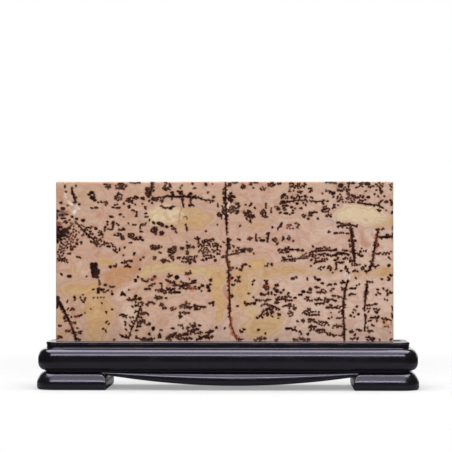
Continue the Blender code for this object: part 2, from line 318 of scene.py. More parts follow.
# Trunks and twigs of the dendrites: the widths along the curve, then its points (u, v)
TWIGS = (
    # Upper left: the short stroke and the long slanting trunk
    ((1.6, 2.8, 3.0, 2.8, 1.4), ((14.2, 137), (14.4, 133.5), (15.6, 129.5), (17.3, 125), (16.6, 122.6))),
    (
        (1.5, 1.9, 1.8, 2.0, 1.6),
        ((17, 106), (21, 102.3), (26, 96.6), (31, 92.5), (33.6, 90.2), (35.6, 86.4), (36.8, 84)),
    ),
    # Lower left trunk
    (
        (3.2, 3.0, 2.4, 2.4, 2.2, 2.0),
        ((0.8, 39), (3, 33.5), (6.3, 28.6), (9.6, 22.5), (12.4, 16.5), (15, 10.5), (17.4, 4.4), (18.6, 1)),
    ),
    # Lower middle trunk
    (
        (1.5, 1.8, 1.6, 1.3),
        ((75.5, 31), (73.8, 25), (72.2, 20.5), (69.3, 14.5), (66.8, 8), (64.8, 1.5)),
    ),
    # Stroke and branch above the left lens, with the small strokes that hang from it
    ((2.8, 2.6, 3.0, 2.2), ((85.8, 141.4), (85.2, 135), (83.6, 130.5), (82.2, 128.4))),
    (
        (1.5, 1.8, 2.2, 2.0, 2.2, 2.4, 1.8),
        (
            (88, 127.2), (94, 127.8), (100, 128.6), (107, 128.2), (114, 128.3), (121, 128), (126, 127.4),
            (129, 126.6),
        ),
    ),
    ((1.4, 1.2), ((129, 126), (134, 125.3), (141, 124.6))),
    ((1.4, 1.7, 1.3), ((112.4, 127), (112.8, 123.6), (114.2, 119))),
    ((1.4, 1.2, 1.6), ((120.6, 126.4), (120.4, 122.6), (122.8, 120))),
    ((0.7, 1.4, 2.2, 0.8), ((92.4, 119.8), (96.5, 118.9), (100.2, 118.2), (103, 118.7), (106.6, 119.6))),
    ((1.2, 1.4, 1.2), ((116.1, 104), (116.2, 100.5), (117, 97.2))),
    ((0.6, 0.8, 0.6), ((113.5, 110), (116.5, 110.3), (117.1, 108))),
    ((0.16, 0.24, 0.12), ((112, 118), (110.4, 112), (109.6, 104.6))),
    # Central trunk in three lengths
    (
        (1.4, 2.2, 1.9, 2.0, 2.2, 2.2, 1.2),
        ((151.3, 141.5), (151.3, 134), (151, 127), (151.4, 119), (151.8, 111), (152, 102), (152.3, 94)),
    ),
    ((3.2, 2.2, 1.7, 2.3), ((153.5, 90.5), (153.4, 85), (152.4, 78), (152.8, 71))),
    (
        (2.4, 1.8, 2.1, 1.7, 1.6, 2.0, 2.7, 1.5),
        ((152.7, 71), (154, 64), (154.2, 56), (154.4, 48), (154.6, 40), (154.8, 34), (154.8, 29), (155, 21)),
    ),
    ((1.8, 1.4, 1.6), ((155, 21), (156.4, 14), (158.4, 8), (161, 1.4))),
    # Rows and arcs in the middle
    ((1.2, 1.8), ((150.4, 75.6), (158, 77), (168, 79.6))),
    ((1.7, 2.2), ((178.2, 95), (178, 91.5), (179, 89))),
    ((1.7, 1.8), ((189.8, 96), (189, 92), (188, 88))),
    ((1.4, 1.9, 1.3), ((182.5, 31), (186, 32.7), (192, 31.5), (199.2, 28.2))),
    ((1.2, 2.4, 1.8), ((181, 21), (185, 26), (188.5, 28.6), (191.5, 28), (193.8, 25.6))),
    # Long twigs at the upper right
    ((1.7, 1.5, 1.3), ((199.5, 121.8), (205, 123), (212, 124.6), (218, 125), (223.5, 124.8))),
    ((1.8, 1.5), ((202.6, 72.2), (212, 72.8), (224, 73.6))),
    ((1.4, 1.6, 1.3), ((226, 124.6), (230, 124), (235, 123.8), (239, 124.6))),
    ((1.9, 2.2, 1.8), ((225, 113.2), (228, 113.7), (232.2, 114.4))),
    ((1.6, 2.0), ((240.2, 133), (243.5, 133.2), (247.6, 130.6))),
    ((1.8, 1.9, 2.2), ((268.6, 122.8), (275, 121.6), (281, 120.8), (286.4, 120.5), (291, 117.8))),
    ((1.2, 1.3), ((287, 121.6), (290.8, 125.2))),
    # The two trunks under the right lens, their caps and branches
    ((1.8, 2.3, 1.6), ((250.6, 101.8), (257, 102.6), (263, 103.1), (267.6, 101.3))),
    (
        (2.2, 3.0, 2.6, 3.2, 3.2, 2.2, 2.2),
        ((261.8, 101), (262.8, 96.5), (263.2, 92), (264, 86.5), (264.6, 80), (264.9, 75.5), (265.6, 71)),
    ),
    ((1.8, 2.0, 2.6, 2.2, 1.8), ((286.8, 99.4), (285.4, 93), (284.4, 87), (283, 80), (281.6, 71))),
    ((1.7, 2.6, 2.0), ((285.5, 92.1), (292, 92.4), (299.4, 92.4))),
    ((1.4, 1.8), ((228, 79.6), (238, 80.2), (250, 80.7))),
    ((1.6, 2.3, 1.9), ((244.5, 75), (251, 77.4), (256, 77.7), (260.6, 76.8))),
    ((1.8, 2.2), ((280.2, 71), (280, 66), (278.4, 62.6), (275, 62))),
    ((1.5, 1.8), ((280.8, 68.8), (282.8, 66.2), (287.4, 67.2))),
    ((1.8, 1.3), ((258, 66.4), (259.4, 63), (260.4, 59.6))),
    ((1.6, 1.3), ((250, 70), (249.5, 66), (248.8, 63))),
    (
        (2.0, 2.1, 2.3, 3.1, 2.0, 1.8, 2.2, 1.9, 1.8),
        (
            (259.7, 54), (257.8, 47), (256.6, 40.5), (256, 36), (255.6, 28), (255.9, 20), (256.3, 12),
            (256.4, 5), (256.6, 1),
        ),
    ),
    ((1.7, 2.5, 2.0, 1.6), ((276.7, 53.5), (276.1, 46.5), (275.1, 38), (274.2, 27))),
    ((1.8, 1.5, 1.7), ((274.5, 24), (275, 18.5), (274.2, 9))),
    ((1.5, 1.8), ((239, 37.6), (244, 36.8), (249.4, 35.8))),
    ((1.4, 1.7), ((230.5, 33.2), (238.5, 33.8))),
)

# Solid dark spots: (u, v, width, height)
BLOTS = (
    (24.2, 107.2, 4.2, 3.2), (18.2, 108.6, 3.2, 2.4), (14.6, 110.4, 2.6, 2.4), (35.6, 100, 3.4, 3.2),
    (18.7, 86.4, 3.4, 3.2), (14, 81.6, 3.6, 3), (47.2, 84, 4, 2.2), (32, 131.8, 4.4, 3.4),
    (32.8, 127.4, 5.6, 4), (34.6, 125.2, 3.4, 2.6), (29.4, 130.2, 3.2, 2.2), (20.8, 121.4, 3, 2.4),
    (3.2, 97.4, 8.4, 8.4), (8, 98, 7, 5.6), (2, 93, 5.6, 5.4), (11.6, 100.4, 4, 3), (6.4, 94, 6.4, 4),
    (3, 101.2, 6.6, 2.6), (10.2, 96.2, 4.4, 3.2), (1.4, 88.6, 3, 4), (4.4, 90.2, 3.4, 2.6),
    (6.2, 117.6, 4.6, 3.6), (1.4, 115.6, 3.4, 2.6), (0.8, 109.4, 2.4, 3.4), (6.6, 108.9, 5.4, 1.7),
    (32.3, 67.8, 4.4, 4.4), (35.4, 68, 4.6, 4), (33.2, 65, 5.6, 5.6), (35.4, 64.6, 4.6, 5), (34, 61, 6, 6),
    (36.8, 60.6, 5.2, 5.2), (34.8, 57.8, 6.4, 4.6), (38.2, 62.4, 2.6, 3.4), (37.2, 56.6, 3.2, 2.8),
    (12, 57.4, 4.6, 3.2), (50.4, 42.6, 3, 4.6), (59.6, 42.2, 3.4, 4), (58.4, 40.9, 2.6, 1.8),
    (61.4, 40.8, 2.4, 1.8), (1.6, 37.4, 4, 5), (2.8, 33.6, 5, 4.4), (1, 30.6, 2.4, 4), (5.6, 30, 3.2, 3.2),
    (74.8, 37.6, 4.2, 3.2), (104.5, 129.8, 3.4, 3.4), (120, 130.8, 4, 3), (98.9, 101.5, 3.2, 2.8),
    (103.3, 102, 2.8, 2.4), (75.4, 92, 3.2, 2.8), (77.3, 89.6, 2.6, 2.2), (80.2, 113.4, 2.6, 2),
    (85.7, 122.8, 2.2, 2.2), (88, 57, 3.4, 2.6), (86, 54.4, 3, 2.6), (80.6, 46, 3.8, 2.4),
    (83.6, 46.2, 2.8, 2.2), (107, 43.2, 6.2, 2.4), (110.4, 43.2, 2.8, 2.6), (108, 56.6, 4.6, 4.2),
    (135.6, 48.2, 3.6, 4.2), (136.8, 44.8, 3.4, 3.2), (119.6, 69.4, 3.2, 3), (134.2, 72.8, 2.6, 2.8),
    (127.8, 47.2, 3.2, 3), (156.8, 56, 3.2, 2.8), (166.2, 66.4, 2.2, 4.6), (176.8, 33.4, 3.6, 3),
    (178.6, 36.4, 3.4, 2.6), (183, 41.8, 3.4, 3.4), (185.4, 41, 3.2, 2.4), (196.8, 44.4, 4.4, 4.2),
    (187.6, 50.8, 3.4, 2.4), (189.2, 42.3, 2.2, 3.6), (192.2, 42.6, 2, 3.6), (217.6, 41.1, 4.4, 2.2),
    (220.4, 43.8, 4, 2.6), (226.4, 46, 3.6, 3.6), (212.7, 38.4, 3, 2.2), (206.4, 11.2, 5.2, 2.6),
    (184, 89.3, 5.2, 2.6), (153.6, 88.5, 3.8, 4.6), (155.7, 131, 3.2, 2.2), (202.4, 123.2, 5.4, 3.6),
    (214.8, 122, 3.2, 2.6), (204.8, 113.4, 4.4, 2.4), (198, 117.4, 4, 3.6), (218, 117.8, 3.2, 2.2),
    (209.7, 118.8, 2.8, 2.2), (210.8, 113.6, 3, 1.8), (166.6, 80.6, 5.4, 3.2), (206, 79, 4.6, 2),
    (219.6, 80.4, 3.2, 2.8), (277, 139.6, 5.6, 3.8), (253.4, 138, 5.4, 4.6), (246.8, 131, 3.8, 3.2),
    (277.8, 127.6, 3.8, 2.2), (226.6, 111.4, 4.2, 2.2), (233.2, 108.6, 2.2, 2.4), (224.6, 108.6, 2.6, 2.4),
    (249, 95.8, 4.4, 2.6), (261, 89.3, 2.6, 2.2), (266, 89, 3, 2.2), (233.6, 54.6, 4.6, 2.6),
    (237.2, 51.4, 3.2, 2.2), (263, 46.8, 4.2, 2.2), (248.4, 50.6, 3, 2.2), (296, 67, 3.6, 2.4),
    (247.4, 40.3, 4.6, 2), (267.4, 30.8, 2.2, 2.2), (269, 23.8, 2.6, 2.4), (262, 22.6, 2.8, 2.4),
    (241.8, 29.8, 4.6, 2.2),
)

# Sprays of flecks: (u, v, width, height, flecks before FLECKS_MORE), with a lean in degrees where they lean
SPRAYS = (
    # Beside the long slanting trunk
    (31, 100.4, 9, 2.4, 5), (39.6, 96, 5, 6, 7), (36, 91.4, 4, 2, 3), (32.4, 88, 3.4, 3, 3),
    (40, 87.4, 8, 6, 8), (48, 86.4, 8, 2, 4), (52, 82.4, 8, 4, 6, -30), (22.6, 88, 3, 3, 3),
    (24, 94, 5, 3, 3), (27, 100, 5, 4, 5, -40), (31.6, 95.8, 5, 3, 4, -40), (57.6, 137.4, 10, 7, 24),
    (32.4, 129, 6, 8, 10), (46, 137.4, 6, 7, 12, 20), (56, 128, 8, 7, 18, 25),
    # The feathery border of the dark stain
    (9, 90.6, 15, 7, 26), (14.4, 95.6, 9, 11, 20), (8, 85, 14, 7, 20), (16.6, 88, 9, 8, 14, 20),
    (4.4, 78.6, 9, 8, 14), (5, 109.6, 9, 6, 9), (19.6, 96.6, 7, 5, 6), (3, 73, 6, 4, 7),
    (10.6, 106.4, 8, 5, 7, -10), (14.6, 103, 5, 4, 5),
    # Upper left, to u 76
    (18, 138, 2, 2.4, 2), (8, 137.2, 2, 1.4, 1), (9.6, 133, 3, 2, 2), (4.2, 122.6, 4, 3, 4, -40),
    (10.4, 120.6, 2, 2, 1), (8, 112.4, 8, 3, 4), (46.4, 137.4, 6, 7, 12, 20), (57.6, 137.4, 11, 7, 22),
    (56, 128, 8, 7.4, 17, 25), (62.6, 137.6, 5, 2, 4, 10), (39.4, 123.4, 5, 1.6, 3),
    (44.6, 122.6, 4, 4, 5, 30), (31.6, 118.2, 2.4, 1.6, 1), (36, 118.4, 3.4, 2.4, 3, 20),
    (54.4, 118.6, 9, 2, 7), (54, 120.8, 4, 1.6, 2), (60.8, 121.7, 2.6, 1.4, 2), (49.4, 110.4, 4.4, 1.6, 4),
    (56.8, 112.4, 4, 1.6, 3, 5), (60.6, 110.2, 2.4, 2.6, 3), (46, 104.8, 2, 4.6, 4), (51, 103.6, 3, 6, 7),
    (55.8, 103.8, 4.4, 2.4, 4, -25), (44.4, 101, 2.6, 2.4, 3, 30), (48.2, 99.3, 5, 2.2, 5, -10),
    (43.2, 98.2, 2.2, 2.4, 2), (58.6, 98.8, 6, 2, 6, 6), (64.6, 104.8, 1.4, 1.4, 1), (69.4, 103, 5, 2.4, 4),
    (52.6, 93.8, 2.6, 2, 2), (56.4, 94.6, 5, 3.8, 7, -10), (59.8, 91.6, 5, 4, 7, -35), (67, 93.8, 7, 5, 12),
    (72.6, 91, 8, 3, 11), (66.8, 87.2, 2, 1.6, 1), (70.2, 77.4, 3.6, 3, 5), (66, 125.6, 7, 5, 9, 25),
    (71.6, 127.4, 5, 4, 7), (68, 122.8, 4, 2, 3, -40), (65.6, 119, 4, 4.4, 6), (68.4, 116, 4, 3, 4),
    (71.8, 114.6, 3, 4, 4, 40), (71.8, 111.4, 2, 3.4, 3, -30), (70.8, 121, 1.6, 1.4, 1),
    (71, 140.8, 11, 2, 8, -3), (31, 101, 8, 2.4, 6), (38.6, 97.4, 3.4, 5, 5), (41.2, 95.4, 2.4, 2.4, 2),
    (42, 92.4, 2.6, 2, 2), (36, 91.6, 3.4, 1.8, 3), (39.6, 90, 2.6, 2.6, 2), (40.8, 85, 6, 3.4, 6, 10),
    (45.6, 86.9, 4.4, 1.6, 3), (50.6, 84.4, 6, 3, 5, -10), (52.6, 80.8, 7, 3, 7, -45), (57, 81.4, 3, 4, 3),
    (61, 83.5, 2.8, 2, 2, -20), (60.2, 76.2, 1.8, 1.4, 1), (33, 88, 3, 2, 2), (30.2, 93, 2, 1.6, 1),
    (22.8, 102.4, 6, 3, 5), (8, 88.6, 13, 6, 16, -10), (23, 87.4, 3, 3.6, 4), (16.4, 84, 3, 2, 3),
    (3, 78.6, 6, 8, 12), (5.4, 71.6, 10, 4, 9), (12, 77.6, 4, 2, 2), (20, 74.6, 4.4, 1.6, 3, -10),
    (13.6, 96, 5, 8, 7), (10.6, 70.2, 3, 2, 2), (64.6, 71, 8, 1.6, 5), (2.4, 104.4, 4, 2.4, 3),
    # Upper middle left, u 74 to 152
    (81.4, 132.6, 4, 8, 12), (87, 134, 1.6, 1.4, 1), (97.4, 140.9, 4, 1.6, 4), (97.6, 138, 1.6, 1.4, 1),
    (98.4, 135.4, 7, 3, 9, -12), (101.6, 138.4, 2.4, 5, 6), (108.4, 132.8, 2.4, 2.2, 2),
    (110.6, 136, 2, 3, 3), (112.4, 138, 1.8, 2, 2), (111.3, 131.4, 5.4, 4.6, 11), (118.8, 129, 3, 2, 3),
    (103.4, 131.6, 3, 3, 4, -45), (88.4, 126, 7, 4, 10), (94.4, 124.8, 4.4, 4, 7, 35),
    (103.4, 126, 2, 1.6, 2), (77.4, 126.6, 3, 3, 4), (83.2, 125, 2.2, 3.4, 4), (77, 122.4, 3, 2.4, 3, 30),
    (79.9, 119, 1.6, 4, 3), (81.2, 110, 4, 3, 4, -30), (83.4, 108, 2, 2.4, 2), (119, 120.6, 2.6, 1.2, 2),
    (133.4, 98, 2.6, 2, 2), (144.3, 103.4, 1.8, 1.6, 1), (144.3, 120.4, 1.4, 3.6, 2),
    (123.8, 135.8, 3, 2.6, 4), (121.8, 139.8, 2, 1.2, 1), (133.6, 139, 2.4, 4.4, 6, 20),
    (139.6, 139.2, 2, 1.8, 2), (135.4, 132, 1.6, 1.6, 1), (140.4, 128, 3, 2.4, 4), (134, 125.4, 8, 3, 10, -4),
    (138.4, 124, 5, 2.8, 5), (77.8, 103, 8, 4.4, 11, 20), (76.4, 97, 3, 1.8, 3), (75, 100, 2, 2, 2),
    (87.6, 104.8, 3.8, 2.4, 5), (94, 103.6, 8, 3.4, 14, -18), (105, 100, 6, 3, 9, -15),
    (107.4, 97, 1.6, 2.4, 2, -40), (87.6, 98.4, 8, 5, 16, 15), (89.6, 94.8, 2, 1.8, 2), (94.4, 95.8, 5, 4, 9),
    (86.8, 83, 8, 5.4, 20, -10), (91.6, 83.6, 3, 3.4, 5), (94.5, 83.2, 2, 1.6, 2),
    (92.4, 78.7, 4, 1.8, 4, -8), (103.6, 80.4, 8.4, 6, 19, 15), (105.4, 83.6, 5, 2.2, 5),
    (103, 75.6, 6.4, 4, 8), (112.8, 82.5, 4.4, 3, 7, -25), (118, 83.8, 6, 3.6, 10),
    (122.6, 83.6, 2.6, 2.6, 4), (117.2, 87.8, 2, 1.8, 2), (117.2, 78, 3, 4.4, 6), (118, 73.6, 12, 5, 22),
    (110, 74, 5, 3, 6), (124.6, 75, 3, 3, 4), (126, 91, 5.4, 2.8, 8, 10), (127.4, 88, 3, 4.4, 8),
    (134.4, 88.3, 10, 4.4, 19), (139.8, 90.1, 5.4, 2, 7), (131, 83.8, 10, 5, 13), (140.4, 85, 10, 5, 14),
    (133, 79.6, 12, 5, 17), (142, 79.6, 12, 5, 15), (137, 75.2, 12, 4, 13), (149, 74.6, 4.4, 2.6, 6),
    (145, 76.8, 4, 2.2, 5), (146.4, 84, 3, 2, 2), (149.6, 87.6, 2, 2, 2), (78.4, 74.4, 2, 1.6, 1),
    (75.4, 71.8, 2.4, 2, 2), (88.4, 73.6, 4.4, 4, 7, 30), (96.6, 71.4, 7, 3, 10), (104.6, 72.6, 3, 3, 4),
    (130.6, 72, 3, 2, 3), (148.6, 119.6, 3, 2, 3), (150, 115.4, 5, 6.4, 14), (146, 112, 5, 5, 11),
    (147.4, 108.4, 3, 3, 4), (150.2, 126, 2.6, 10, 10), (149.6, 133, 2, 5, 5), (101, 76.6, 3, 2, 2),
    # Upper middle right, u 150 to 226
    (155, 138.8, 3.4, 3.4, 6), (159.6, 140.5, 4.6, 1.6, 5), (155.6, 126.6, 5, 8, 17),
    (158.4, 128.2, 3, 2.8, 5), (161.6, 121.8, 4.4, 1.6, 4), (162.6, 119.2, 3, 2.6, 4, -30),
    (156.6, 117, 8, 6.4, 20, 35), (161.6, 114.6, 3, 5, 7, -35), (152.9, 111, 2.6, 2.2, 3),
    (166.8, 137.2, 4.2, 4, 7, 30), (173.6, 139.2, 4, 3.6, 7), (178.6, 140.5, 5, 1.6, 5),
    (176, 136, 1.2, 1.2, 1), (184.8, 135, 5.4, 4.4, 8), (192, 138.9, 7, 5, 14), (199.6, 140, 4.4, 1.8, 4, 10),
    (168.6, 120.8, 3.2, 2, 3, -35), (173.8, 121.4, 2.4, 3.4, 5, -20), (177.4, 118.2, 1.8, 1.4, 1),
    (170.6, 116.2, 2, 1.6, 2), (172, 112.4, 8.4, 7, 18, -20), (167.8, 114.2, 2.4, 3, 4), (170, 108, 4, 3, 5),
    (175.8, 110.8, 4, 3, 5, -30), (173, 106.8, 2.6, 3, 3), (164.6, 102.2, 2.6, 2.4, 2, 40),
    (185, 113.4, 6.4, 8, 18), (187.2, 120.6, 1.8, 5.4, 6), (191.6, 115.4, 3, 6.4, 8), (187.6, 110, 3, 2, 3),
    (193, 101, 1.4, 1.4, 1), (199.2, 101.2, 2.6, 7, 8, -35), (207.4, 101.6, 5.4, 6, 9),
    (210.7, 100, 1.8, 2.4, 2), (215.6, 101.8, 2, 4.4, 4, -20), (213.4, 104.6, 2, 1, 1),
    (163, 90.2, 3, 1.8, 3, -20), (173, 90.6, 4.4, 3.6, 6), (181.2, 91.4, 1.8, 1.6, 1),
    (194.8, 90, 5.4, 3.8, 9), (197, 86.6, 3.4, 3.4, 6), (202.3, 91, 2.6, 4, 5), (207, 91.6, 4.2, 4.4, 6),
    (158.6, 83.7, 3, 3, 5), (162, 82.7, 3, 2, 4), (160, 80, 7, 2.2, 7), (166.6, 81, 8.4, 4.4, 14),
    (173.4, 80.6, 5.4, 4, 10), (176.2, 77.6, 1.8, 1.8, 2), (154.4, 84.6, 3.4, 6, 9), (198.7, 80.6, 2.2, 3, 4),
    (205.6, 81, 10, 2.4, 10, 2), (214, 81, 7, 2, 6), (206.8, 82.9, 4, 1.6, 3), (203, 78.8, 11, 2, 9, 4),
    (208, 75, 4.6, 1.8, 5), (203.2, 73.2, 4, 2, 4), (221.6, 76.4, 6, 4.4, 8, 30), (226, 76, 3, 3, 2),
    (209.8, 138, 5, 6.4, 8), (215.6, 137.6, 10, 5, 14), (221.4, 138.6, 3.4, 5, 6),
    (208, 133.4, 3, 2.4, 3, -40), (211.8, 133.2, 3, 2, 3), (217.5, 132.2, 5.4, 3, 6),
    (203, 128, 8, 5.4, 13, -15), (211, 126.8, 4, 4, 6), (216.4, 128.6, 6.4, 5, 9), (222.6, 128.4, 4, 3, 5),
    (220.4, 122.4, 1.6, 1.4, 1), (222.2, 120.9, 1.6, 1.4, 1), (196.6, 118.6, 5, 4.4, 8, -25),
    (204, 120.2, 8, 1.6, 5), (203.4, 117, 2.6, 3.4, 4), (213, 117.9, 2.6, 2, 2), (211, 115.8, 2, 1.6, 2),
    (199.6, 113.8, 3.2, 2, 5), (208.2, 112.3, 2.4, 1.6, 2), (221, 111, 5, 4.4, 8), (224.6, 112.8, 3, 2, 2),
    (207, 85, 3, 1, 0), (211.4, 88.8, 1, 1, 1), (201, 104.4, 2, 2, 2), (186, 87.6, 3, 1.4, 0),
    # Upper right, u 224 to 300
    (226.6, 134, 4, 5.4, 7), (227.4, 127.2, 2.6, 2.4, 3), (237, 130.4, 2.6, 1.8, 2), (237.6, 123, 3, 2.2, 3),
    (241.8, 124.3, 1.4, 1.4, 1), (244.4, 140.5, 11, 1.8, 9, -4), (241, 141.2, 3.2, 1.8, 3),
    (254, 137.2, 8, 8.4, 14, -10), (263, 140.6, 10, 2.8, 8), (260.2, 133, 3.6, 12, 12), (256, 134, 6, 2.4, 4),
    (251.4, 133.4, 3, 1.6, 2), (252.4, 127.4, 7.4, 7.4, 14), (247.4, 128.4, 3, 3, 3),
    (262.6, 127, 9.6, 6.4, 15), (255.4, 123.2, 2.4, 2, 2), (261.4, 123.4, 9, 2, 5),
    (272.4, 126.8, 8.4, 6.6, 15), (272.4, 138.6, 5.4, 6, 9), (280, 137.2, 6, 3.6, 7), (267.8, 136.4, 3, 3, 3),
    (288, 138.4, 8, 6.4, 11), (289, 132.8, 3.6, 4, 4), (285, 133.6, 3, 1.8, 2), (286.4, 128.2, 2.4, 2, 2),
    (292.2, 128.8, 2, 2.2, 2), (275.3, 132.6, 2, 2, 2), (283, 130.2, 2, 1, 1), (298, 137.4, 3.4, 9, 8),
    (297.6, 125, 3.4, 4, 4), (298.6, 121.4, 2.6, 3, 3), (293.8, 124, 4, 2.4, 3), (299, 114.4, 1.6, 2.6, 2),
    (293.4, 115.4, 2.4, 1.2, 1), (287.6, 116, 3.6, 3.2, 5), (240, 117, 8, 6.6, 16), (249.6, 120.4, 6.4, 2, 5),
    (248.2, 118.4, 4, 3, 4), (244, 111.6, 3, 4, 3, 45), (241, 111, 1.4, 1.4, 1),
    (253, 104.6, 6.4, 2.6, 7, -10), (259, 100.6, 3, 2, 2, -30), (261.8, 86, 2.6, 6, 5),
    (252.2, 95.8, 9, 2.6, 7), (259.4, 95.4, 4.4, 1.8, 3), (243, 97, 1.2, 1.6, 1), (285, 98.6, 4.6, 2, 3),
    (291, 99.4, 4, 2, 3, 10), (295, 94.4, 3.4, 2.4, 3), (299.2, 94.6, 1.4, 3, 2),
    (286.6, 85.6, 3, 4.4, 4, -20), (290.6, 77.6, 15, 2.8, 11, 3), (297.6, 79.6, 3, 2.4, 2),
    (296.8, 73.6, 2.8, 3.4, 2), (299.2, 100, 1.4, 4, 2), (271.8, 82.4, 2, 1.6, 2), (274.6, 79.8, 5, 1.8, 3),
    (269.8, 78, 5.4, 5.4, 6), (272, 75.6, 2.8, 2.2, 2), (236.4, 82, 10.4, 3.4, 9, 8),
    (242.4, 82.8, 3, 1.8, 2), (256.6, 80.8, 8, 2.2, 5, -3), (265, 79, 8, 2.2, 4),
    (228, 76.6, 8.4, 4.4, 7, -10), (236.4, 76.6, 10, 3.6, 8), (243, 76.6, 3, 2.6, 2),
    (231, 72.6, 9, 3.4, 7, 20), (238.6, 73, 6.4, 4, 6), (250.4, 72.6, 6, 3.4, 5, 30), (257.4, 73, 5.4, 3, 4),
    (262.4, 73.6, 5, 4.4, 5), (228.6, 84.2, 1.4, 1.2, 1), (227, 79, 4, 2, 2),
    # Lower left, to u 76
    (4.6, 59.6, 2.8, 1.8, 3), (9.4, 58.3, 1.6, 1.4, 1), (27.4, 57, 2.2, 2.2, 2), (38.6, 54.6, 2, 3, 3),
    (39.2, 51, 2.6, 3.6, 5), (44.2, 49.6, 3.2, 2.6, 5, 20), (50.2, 48, 5.4, 1.6, 5), (46.4, 45.4, 2.4, 2, 2),
    (39.6, 45.5, 8, 2.8, 10, -8), (38, 43.2, 1.8, 2.6, 3), (43, 43, 2.2, 2.8, 3), (33.4, 45.4, 2, 1.6, 2),
    (40, 38.6, 8, 1.6, 4), (33.8, 38.4, 1.2, 1.2, 1), (41, 34, 1.4, 2.6, 2), (16.6, 37.6, 2.6, 4, 5),
    (22.2, 38.8, 2, 1.6, 1), (22.8, 36, 2.4, 2.2, 2), (24.4, 40.6, 1.4, 1.8, 1), (24.6, 34.8, 1.6, 2, 1),
    (26.4, 36.8, 2.6, 3.4, 4), (10.6, 35.2, 2, 1.8, 1), (14.6, 28, 4.8, 2.6, 7), (11, 28, 3, 1.6, 2),
    (20.4, 22.2, 8, 1.8, 9, 15), (25.8, 24.8, 2, 1.4, 1, 15), (14.2, 21, 2, 2, 2), (8, 20.4, 2.6, 3.6, 4),
    (8.4, 17.8, 2.4, 1.6, 2), (15.6, 16.5, 5.6, 2.4, 7), (3.4, 13.3, 3.6, 2.2, 4), (10.6, 8.9, 5.6, 2.6, 8),
    (21.6, 7.6, 4.4, 3.6, 8, 20), (19.4, 11.2, 3.6, 2, 2), (14.8, 6.4, 1.6, 1.6, 1), (3, 3, 6, 3.4, 7, -15),
    (20.6, 1.2, 5.6, 2.4, 6), (31.2, 28.3, 1.6, 1.2, 1), (45, 25.4, 1, 1, 1), (50.3, 28, 1.4, 1.2, 1),
    (45.2, 16.8, 3, 2.6, 4), (47.4, 15.4, 1.8, 1.6, 1), (42.2, 10.8, 1, 1, 1), (44.6, 8.8, 1.2, 1.2, 1),
    (60, 22.6, 6.6, 3, 8, -8), (62.8, 21.2, 2.6, 2.4, 3), (66.6, 21, 1.6, 1.4, 1), (69, 21.1, 1.2, 1.2, 1),
    (62, 15.4, 2.2, 4, 4), (67.4, 13.6, 5, 2.6, 5), (68.6, 16.2, 2.6, 2, 3), (70.8, 25.4, 3, 3.4, 5),
    (73, 13, 4, 2, 4), (72.4, 9, 3.4, 1.8, 4), (63, 9.8, 2, 1.6, 2), (59.2, 4.6, 5.4, 3, 7, -20),
    (62, 4, 4, 3.4, 5), (72, 3, 3.6, 4, 6), (52, 0.9, 2.6, 1.4, 2), (66.8, 36.6, 8, 3.2, 12, -8),
    (71, 37.4, 3, 3, 4), (68.4, 30.6, 1.6, 1.4, 1), (71.8, 31.4, 3.4, 2, 4, -10), (71, 34.4, 2.6, 2, 2),
    (71.2, 39.9, 3.6, 2.6, 5), (71, 53.6, 2.2, 3.2, 4), (73.4, 57.2, 2.6, 1.6, 2, -30), (48.6, 66, 2.6, 2, 3),
    (52.8, 67, 3.6, 3.8, 6, -30), (59.6, 69.4, 2.6, 2, 2), (63.4, 66.3, 7.4, 2.2, 9, -2),
    (62.6, 69.8, 5.6, 2.6, 6, 10), (65.2, 45.2, 1.2, 1, 1), (5, 25, 3, 2, 0), (74.8, 63.4, 1.2, 1, 1),
    (74.8, 17.6, 3, 2, 3),
    # Lower middle left, u 74 to 152
    (97.2, 70.8, 9, 2.8, 10), (118, 70.6, 14, 2, 10, 2), (142, 71.6, 4, 1.6, 3), (82.4, 55.4, 2.6, 2.6, 3),
    (77.4, 55, 2.2, 3.4, 4), (81, 53, 5.4, 2, 6), (85.6, 49.6, 6.4, 3.6, 9, 25), (93.8, 51.2, 1.8, 1.4, 1),
    (94.6, 47.4, 3.4, 4, 5), (90, 44.8, 5, 2, 5, -25), (95.4, 44.4, 7.4, 4.4, 13), (103, 43, 14, 1.7, 9),
    (102.4, 45.8, 9, 3, 11), (101.6, 57.8, 5.2, 3.6, 8), (98.8, 53.8, 3.4, 2.2, 4, -15),
    (102.6, 52.4, 6, 3, 7, -20), (106, 52.2, 2.4, 3.2, 4), (112, 52.5, 1.4, 1.2, 1), (111.6, 49, 18, 2.2, 19),
    (116, 51, 8, 1.8, 6), (117.2, 47, 9.4, 4, 12), (124, 47, 3.4, 4, 6), (110.6, 47, 2.2, 2, 2),
    (119.6, 55, 2, 1.4, 1), (122.6, 52.4, 6.4, 3, 10, 30), (117.6, 59.8, 7.4, 2.6, 11, 5),
    (119.4, 61.8, 1.6, 2, 1), (130, 48.8, 4.6, 3.6, 7, 40), (130, 44.4, 2, 1.8, 1), (138, 53.4, 3.6, 4, 6),
    (137.3, 50.2, 1.8, 1.8, 1), (91.6, 38.6, 8.4, 3.8, 15, -12), (98.6, 38.1, 1.8, 1.6, 1),
    (76, 33, 6, 4.4, 8), (81.4, 32.2, 3.4, 3, 5), (84.4, 34.4, 6, 2.6, 7), (88, 33.4, 2.2, 2, 2),
    (94.2, 32, 5.2, 3.6, 8), (96.6, 29, 4.2, 3.2, 6), (104.6, 28.6, 6, 3.6, 9), (113.6, 30.6, 8.4, 4.2, 15),
    (118.8, 30, 5.4, 4, 9), (116, 34, 2.2, 2.6, 3), (119, 33, 2, 1.6, 1), (128, 30.4, 12, 2.2, 15),
    (124, 31.9, 3.4, 1.8, 3), (125.8, 28, 5.6, 1.8, 6), (114.6, 25, 9, 3, 10, -3), (111, 22.2, 3.6, 4.8, 9),
